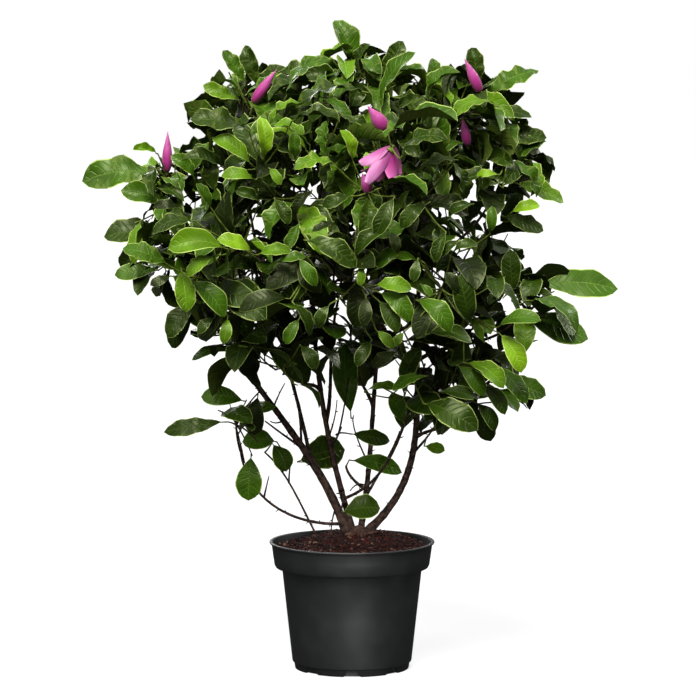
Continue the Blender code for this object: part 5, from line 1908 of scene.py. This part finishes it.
def green_of(blade, rng):
    """The name of a leaf's green."""
    if blade.green:
        return "leaves_" + blade.green
    off = blade.foot + blade.along * blade.length * 0.5 - CROWN_MIDDLE
    out = math.sqrt(sum((off[i] / CROWN_RADII[i]) ** 2 for i in range(3)))
    high = off.z / CROWN_RADII.z
    # further in and lower down gives a darker green: painted shade inside and below, painted light on top
    score = out * 0.5 + blade.fresh * 0.28 + high * 0.2 + rng.gauss(0, 0.2)
    return "leaves_" + next(green for most, green in GREEN_STEPS if score < most)


def join_leaves():
    """One piece for each green, with every leaf of that green in it."""
    rng = random.Random(7)
    heaps = {name: [] for name in LEAF_GREENS}
    for blade in all_blades:
        heaps[green_of(blade, rng)].append(leaf_corners(turned_up(blade, rng), rng))
    for name, heap in heaps.items():
        shapes = [(corners.tolist(), LEAF_FACES) for corners in heap]
        piece = join_shapes(name, shapes, [leaf_finishes[name]], maps=[LEAF_PLACES] * len(heap))
        smooth(piece, 75)
        hand_over(piece, ["foliage_" + mass.name for mass in masses])
        print(name, len(heap), "leaves")


join_leaves()

# %% [markdown]
# ## Twigs, shoots and leaf stalks
# The stems of the masses and their twigs have brown bark, the fine shoots and the leaf stalks are
# still green. Curves with a round bevel would draw them too, but there are well over a thousand,
# so they are tapering tubes of a few sides along the limbs' own curves, joined as one piece.

# %% Join the twigs
STALK_THICK, STALK_THIN, STALK_SIDES = 2.7, 1.9, 4
STALK_INTO_BLADE = 0.03  # how far a stalk runs on under its blade, as a share of the length


def stalk_shape(blade):
    """The stalk of a leaf, from its twig into the foot of its midrib."""
    foot = blade.foot
    reach = blade.length * (PETIOLE_SHARE + STALK_INTO_BLADE)
    rise = blade.length * blade.arch * 4 * PETIOLE_SHARE * (1 - PETIOLE_SHARE)
    end = foot + blade.along * reach + blade.face * (rise - 0.6 * MM)
    middle = foot.lerp(end, 0.5) + blade.face * 0.5 * MM
    return Limb((foot, middle, end), 3, STALK_THICK, STALK_THIN, STALK_SIDES).solid()


brown = [Limb(stem.bends, 7, 4.4, 3.2, 7).solid() for stem in stems.values()]
brown += [Limb(twig.bends, 6, 3.6, 2.4, 6).solid() for twig in all_twigs]
green = [Limb(shoot.bends, 5, SHOOT_THICK, SHOOT_THIN, 6).solid() for shoot in all_shoots]
green += [stalk_shape(blade) for blade in all_blades]
twig_slots = [0] * len(brown) + [1] * len(green)
twig_piece = join_shapes("twigs_and_stalks", brown + green, [twig_finish, shoot_finish], slots=twig_slots)
smooth(twig_piece, 60)
hand_over(twig_piece)

# %% [markdown]
# ## Buds and flowers
# A closed bud is a few fleshy petals wrapped round each other into a pointed spindle. One spindle
# would have its outline, but not the petals' edges that run round it. So each petal is a grid laid
# on that spindle, a little further out than the one before, then thickened. The open flower has
# the same kind of petal, bent away from its axis.

# %% Petals
PETAL_ROWS, PETAL_COLUMNS = 12, 6
PETAL_THICK = 0.9


def petal_piece(name, place_of, finish):
    """A petal: a grid whose corners are placed by a rule, given its thickness."""
    start_fresh()
    bpy.ops.mesh.primitive_grid_add(x_subdivisions=PETAL_ROWS, y_subdivisions=PETAL_COLUMNS, size=2)
    piece = bpy.context.object
    piece.name = name
    piece.data.uv_layers[0].name = PATTERN_MAP
    for corner in piece.data.vertices:
        corner.co = place_of((corner.co.x + 1) / 2, corner.co.y)
    piece.data.materials.append(finish)
    wall = piece.modifiers.new("petal_wall", "SOLIDIFY")
    wall.thickness = PETAL_THICK * MM
    wall.offset = 0
    rounding = piece.modifiers.new("rounding", "SUBSURF")
    rounding.levels = rounding.render_levels = 1
    apply_modifiers(piece)
    piece.data.shade_smooth()
    return piece


# %% Closed bud
WRAPS = 5
WRAP_WIDTH = math.radians(82)  # half of the angle that a petal covers at its foot
WRAP_SPIRAL = 0.7


def bud_petals(name, foot, tip, width):
    """The wrapped petals of a closed bud."""
    axis = (tip - foot).normalized()
    length = (tip - foot).length
    side = across_of(axis)
    other = axis.cross(side)
    petals = []
    for wrap in range(WRAPS):

        def place_of(share, across):
            """A corner on the spindle, from foot to tip and from edge to edge."""
            belly = math.sin(math.pi * (0.10 + 0.90 * share) ** 0.8) ** 0.75
            layer = 0.84 + 0.05 * wrap
            radius = width / 2 * (0.16 + 0.84 * belly) * layer * (1 - 0.86 * share**5)
            angle = wrap * GOLDEN_ANGLE + across * WRAP_WIDTH * (1 - 0.45 * share**3) + share * WRAP_SPIRAL
            radius *= 1 - 0.07 * across * across
            out = spoke_of(side, other, angle)
            return foot + axis * length * share * (1 - 0.03 * wrap) + out * radius * MM

        petals.append(petal_piece(f"{name}_petal_{wrap}", place_of, bud_finish))
    return petals


# %% Open flower
# for each petal: turn round the axis from the viewer's side, how far it opens, how far it leans
# sideways, length as a share, width, and finish
OPEN_PETALS = (
    (3.1, 0.3, 0.2, 1.0, 26.0, bud_finish),
    (1.9, 0.35, 0.25, 1.05, 26.0, open_finish),
    (0.5, 0.2, 0.42, 1.0, 24.0, open_finish),
    (-0.9, 0.3, -1.1, 0.8, 32.0, bud_finish),
    (-0.4, 0.25, -0.6, 0.95, 28.0, bud_finish),
    (0.0, 0.12, 0.0, 1.3, 23.0, open_finish),
)


def flower_petals(name, foot, tip):
    """The loose petals of the open, nodding flower."""
    axis = (tip - foot).normalized()
    length = (tip - foot).length
    side = Vector((0, -1, 0))
    side = (side - axis * side.dot(axis)).normalized()
    other = axis.cross(side)
    petals = []
    for number, (turn, opening, aside, long, width, finish) in enumerate(OPEN_PETALS):
        out = spoke_of(side, other, turn)
        edge = axis.cross(out)
        way = spoke_of(axis, edge, aside)
        across_way = spoke_of(edge, -axis, aside)

        def place_of(share, across):
            """A corner on the cupped petal, from foot to tip and from edge to edge."""
            spine = foot + spoke_of(way, out, opening * share) * length * long * share
            half = width / 2 * math.sin(math.pi * (0.12 + 0.80 * share)) ** 0.7
            cup = 0.35 * half * across * across
            ripple = 1.6 * math.sin(7 * share + 2 * across) * share
            return spine + across_way * half * across * MM + out * (3.0 - cup + ripple) * MM

        petals.append(petal_piece(f"{name}_petal_{number}", place_of, finish))
    return petals


# %% Calyx and stalk of each blossom
def join_pieces(pieces, name):
    """Joins finished pieces of one kind into one."""
    start_fresh()
    for piece in pieces:
        piece.select_set(True)
    bpy.context.view_layer.objects.active = pieces[0]
    bpy.ops.object.join()
    pieces[0].name = name
    return pieces[0]


CUP_BELOW, CUP_ABOVE = 6, 7  # mm that a calyx reaches below and above a blossom's foot
closed, opened, cups = [], [], []
for number, (foot, tip, width) in enumerate(all_blossoms):
    if width > OPEN_FROM:
        opened += flower_petals(f"flower_{number}", foot, tip)
    else:
        closed += bud_petals(f"bud_{number}", foot, tip, width)
    axis = (tip - foot).normalized()
    ends = (foot - axis * CUP_BELOW * MM, foot, foot + axis * CUP_ABOVE * MM)
    cups.append(Limb(ends, 5, 4.2, width * 0.3 + 3, 8).solid())
buds = join_pieces(closed, "closed_buds")
hand_over(buds)
flower = join_pieces(opened, "open_flower")
hand_over(flower)
calyx = join_shapes("calyces", cups, [shoot_finish])
smooth(calyx, 60)
hand_over(calyx)

# %% [markdown]
# ## Floor
# The shrub stands on a plain pale floor, which isn't part of it. A floor that is only lit goes
# grey behind the pot, and one lit to white would wash out thin twigs before it. So it glows a
# little, and its own tone is dark enough to take a faint shadow.

# %% Floor
FLOOR_GLOW = 0.74  # a lit table of frosted plastic: it shows white, and no brighter than the backdrop
FLOOR_TONE = 0.24  # so little that the shadow stays faint
start_fresh()
bpy.ops.mesh.primitive_plane_add(size=40, location=(0, 0, 0))
floor = bpy.context.object
floor.name = "floor"
matt = {"Roughness": 0.9, "Base Color": (FLOOR_TONE, FLOOR_TONE, FLOOR_TONE, 1)}
floor_finish, tree, shader = new_finish("pale_floor", matt)
set_inputs(tree, shader, {"Emission Color": (1, 1, 1, 1), "Emission Strength": FLOOR_GLOW})
# it throws no light up at the plant
floor.visible_diffuse = False
floor.visible_glossy = False
floor.data.materials.append(floor_finish)
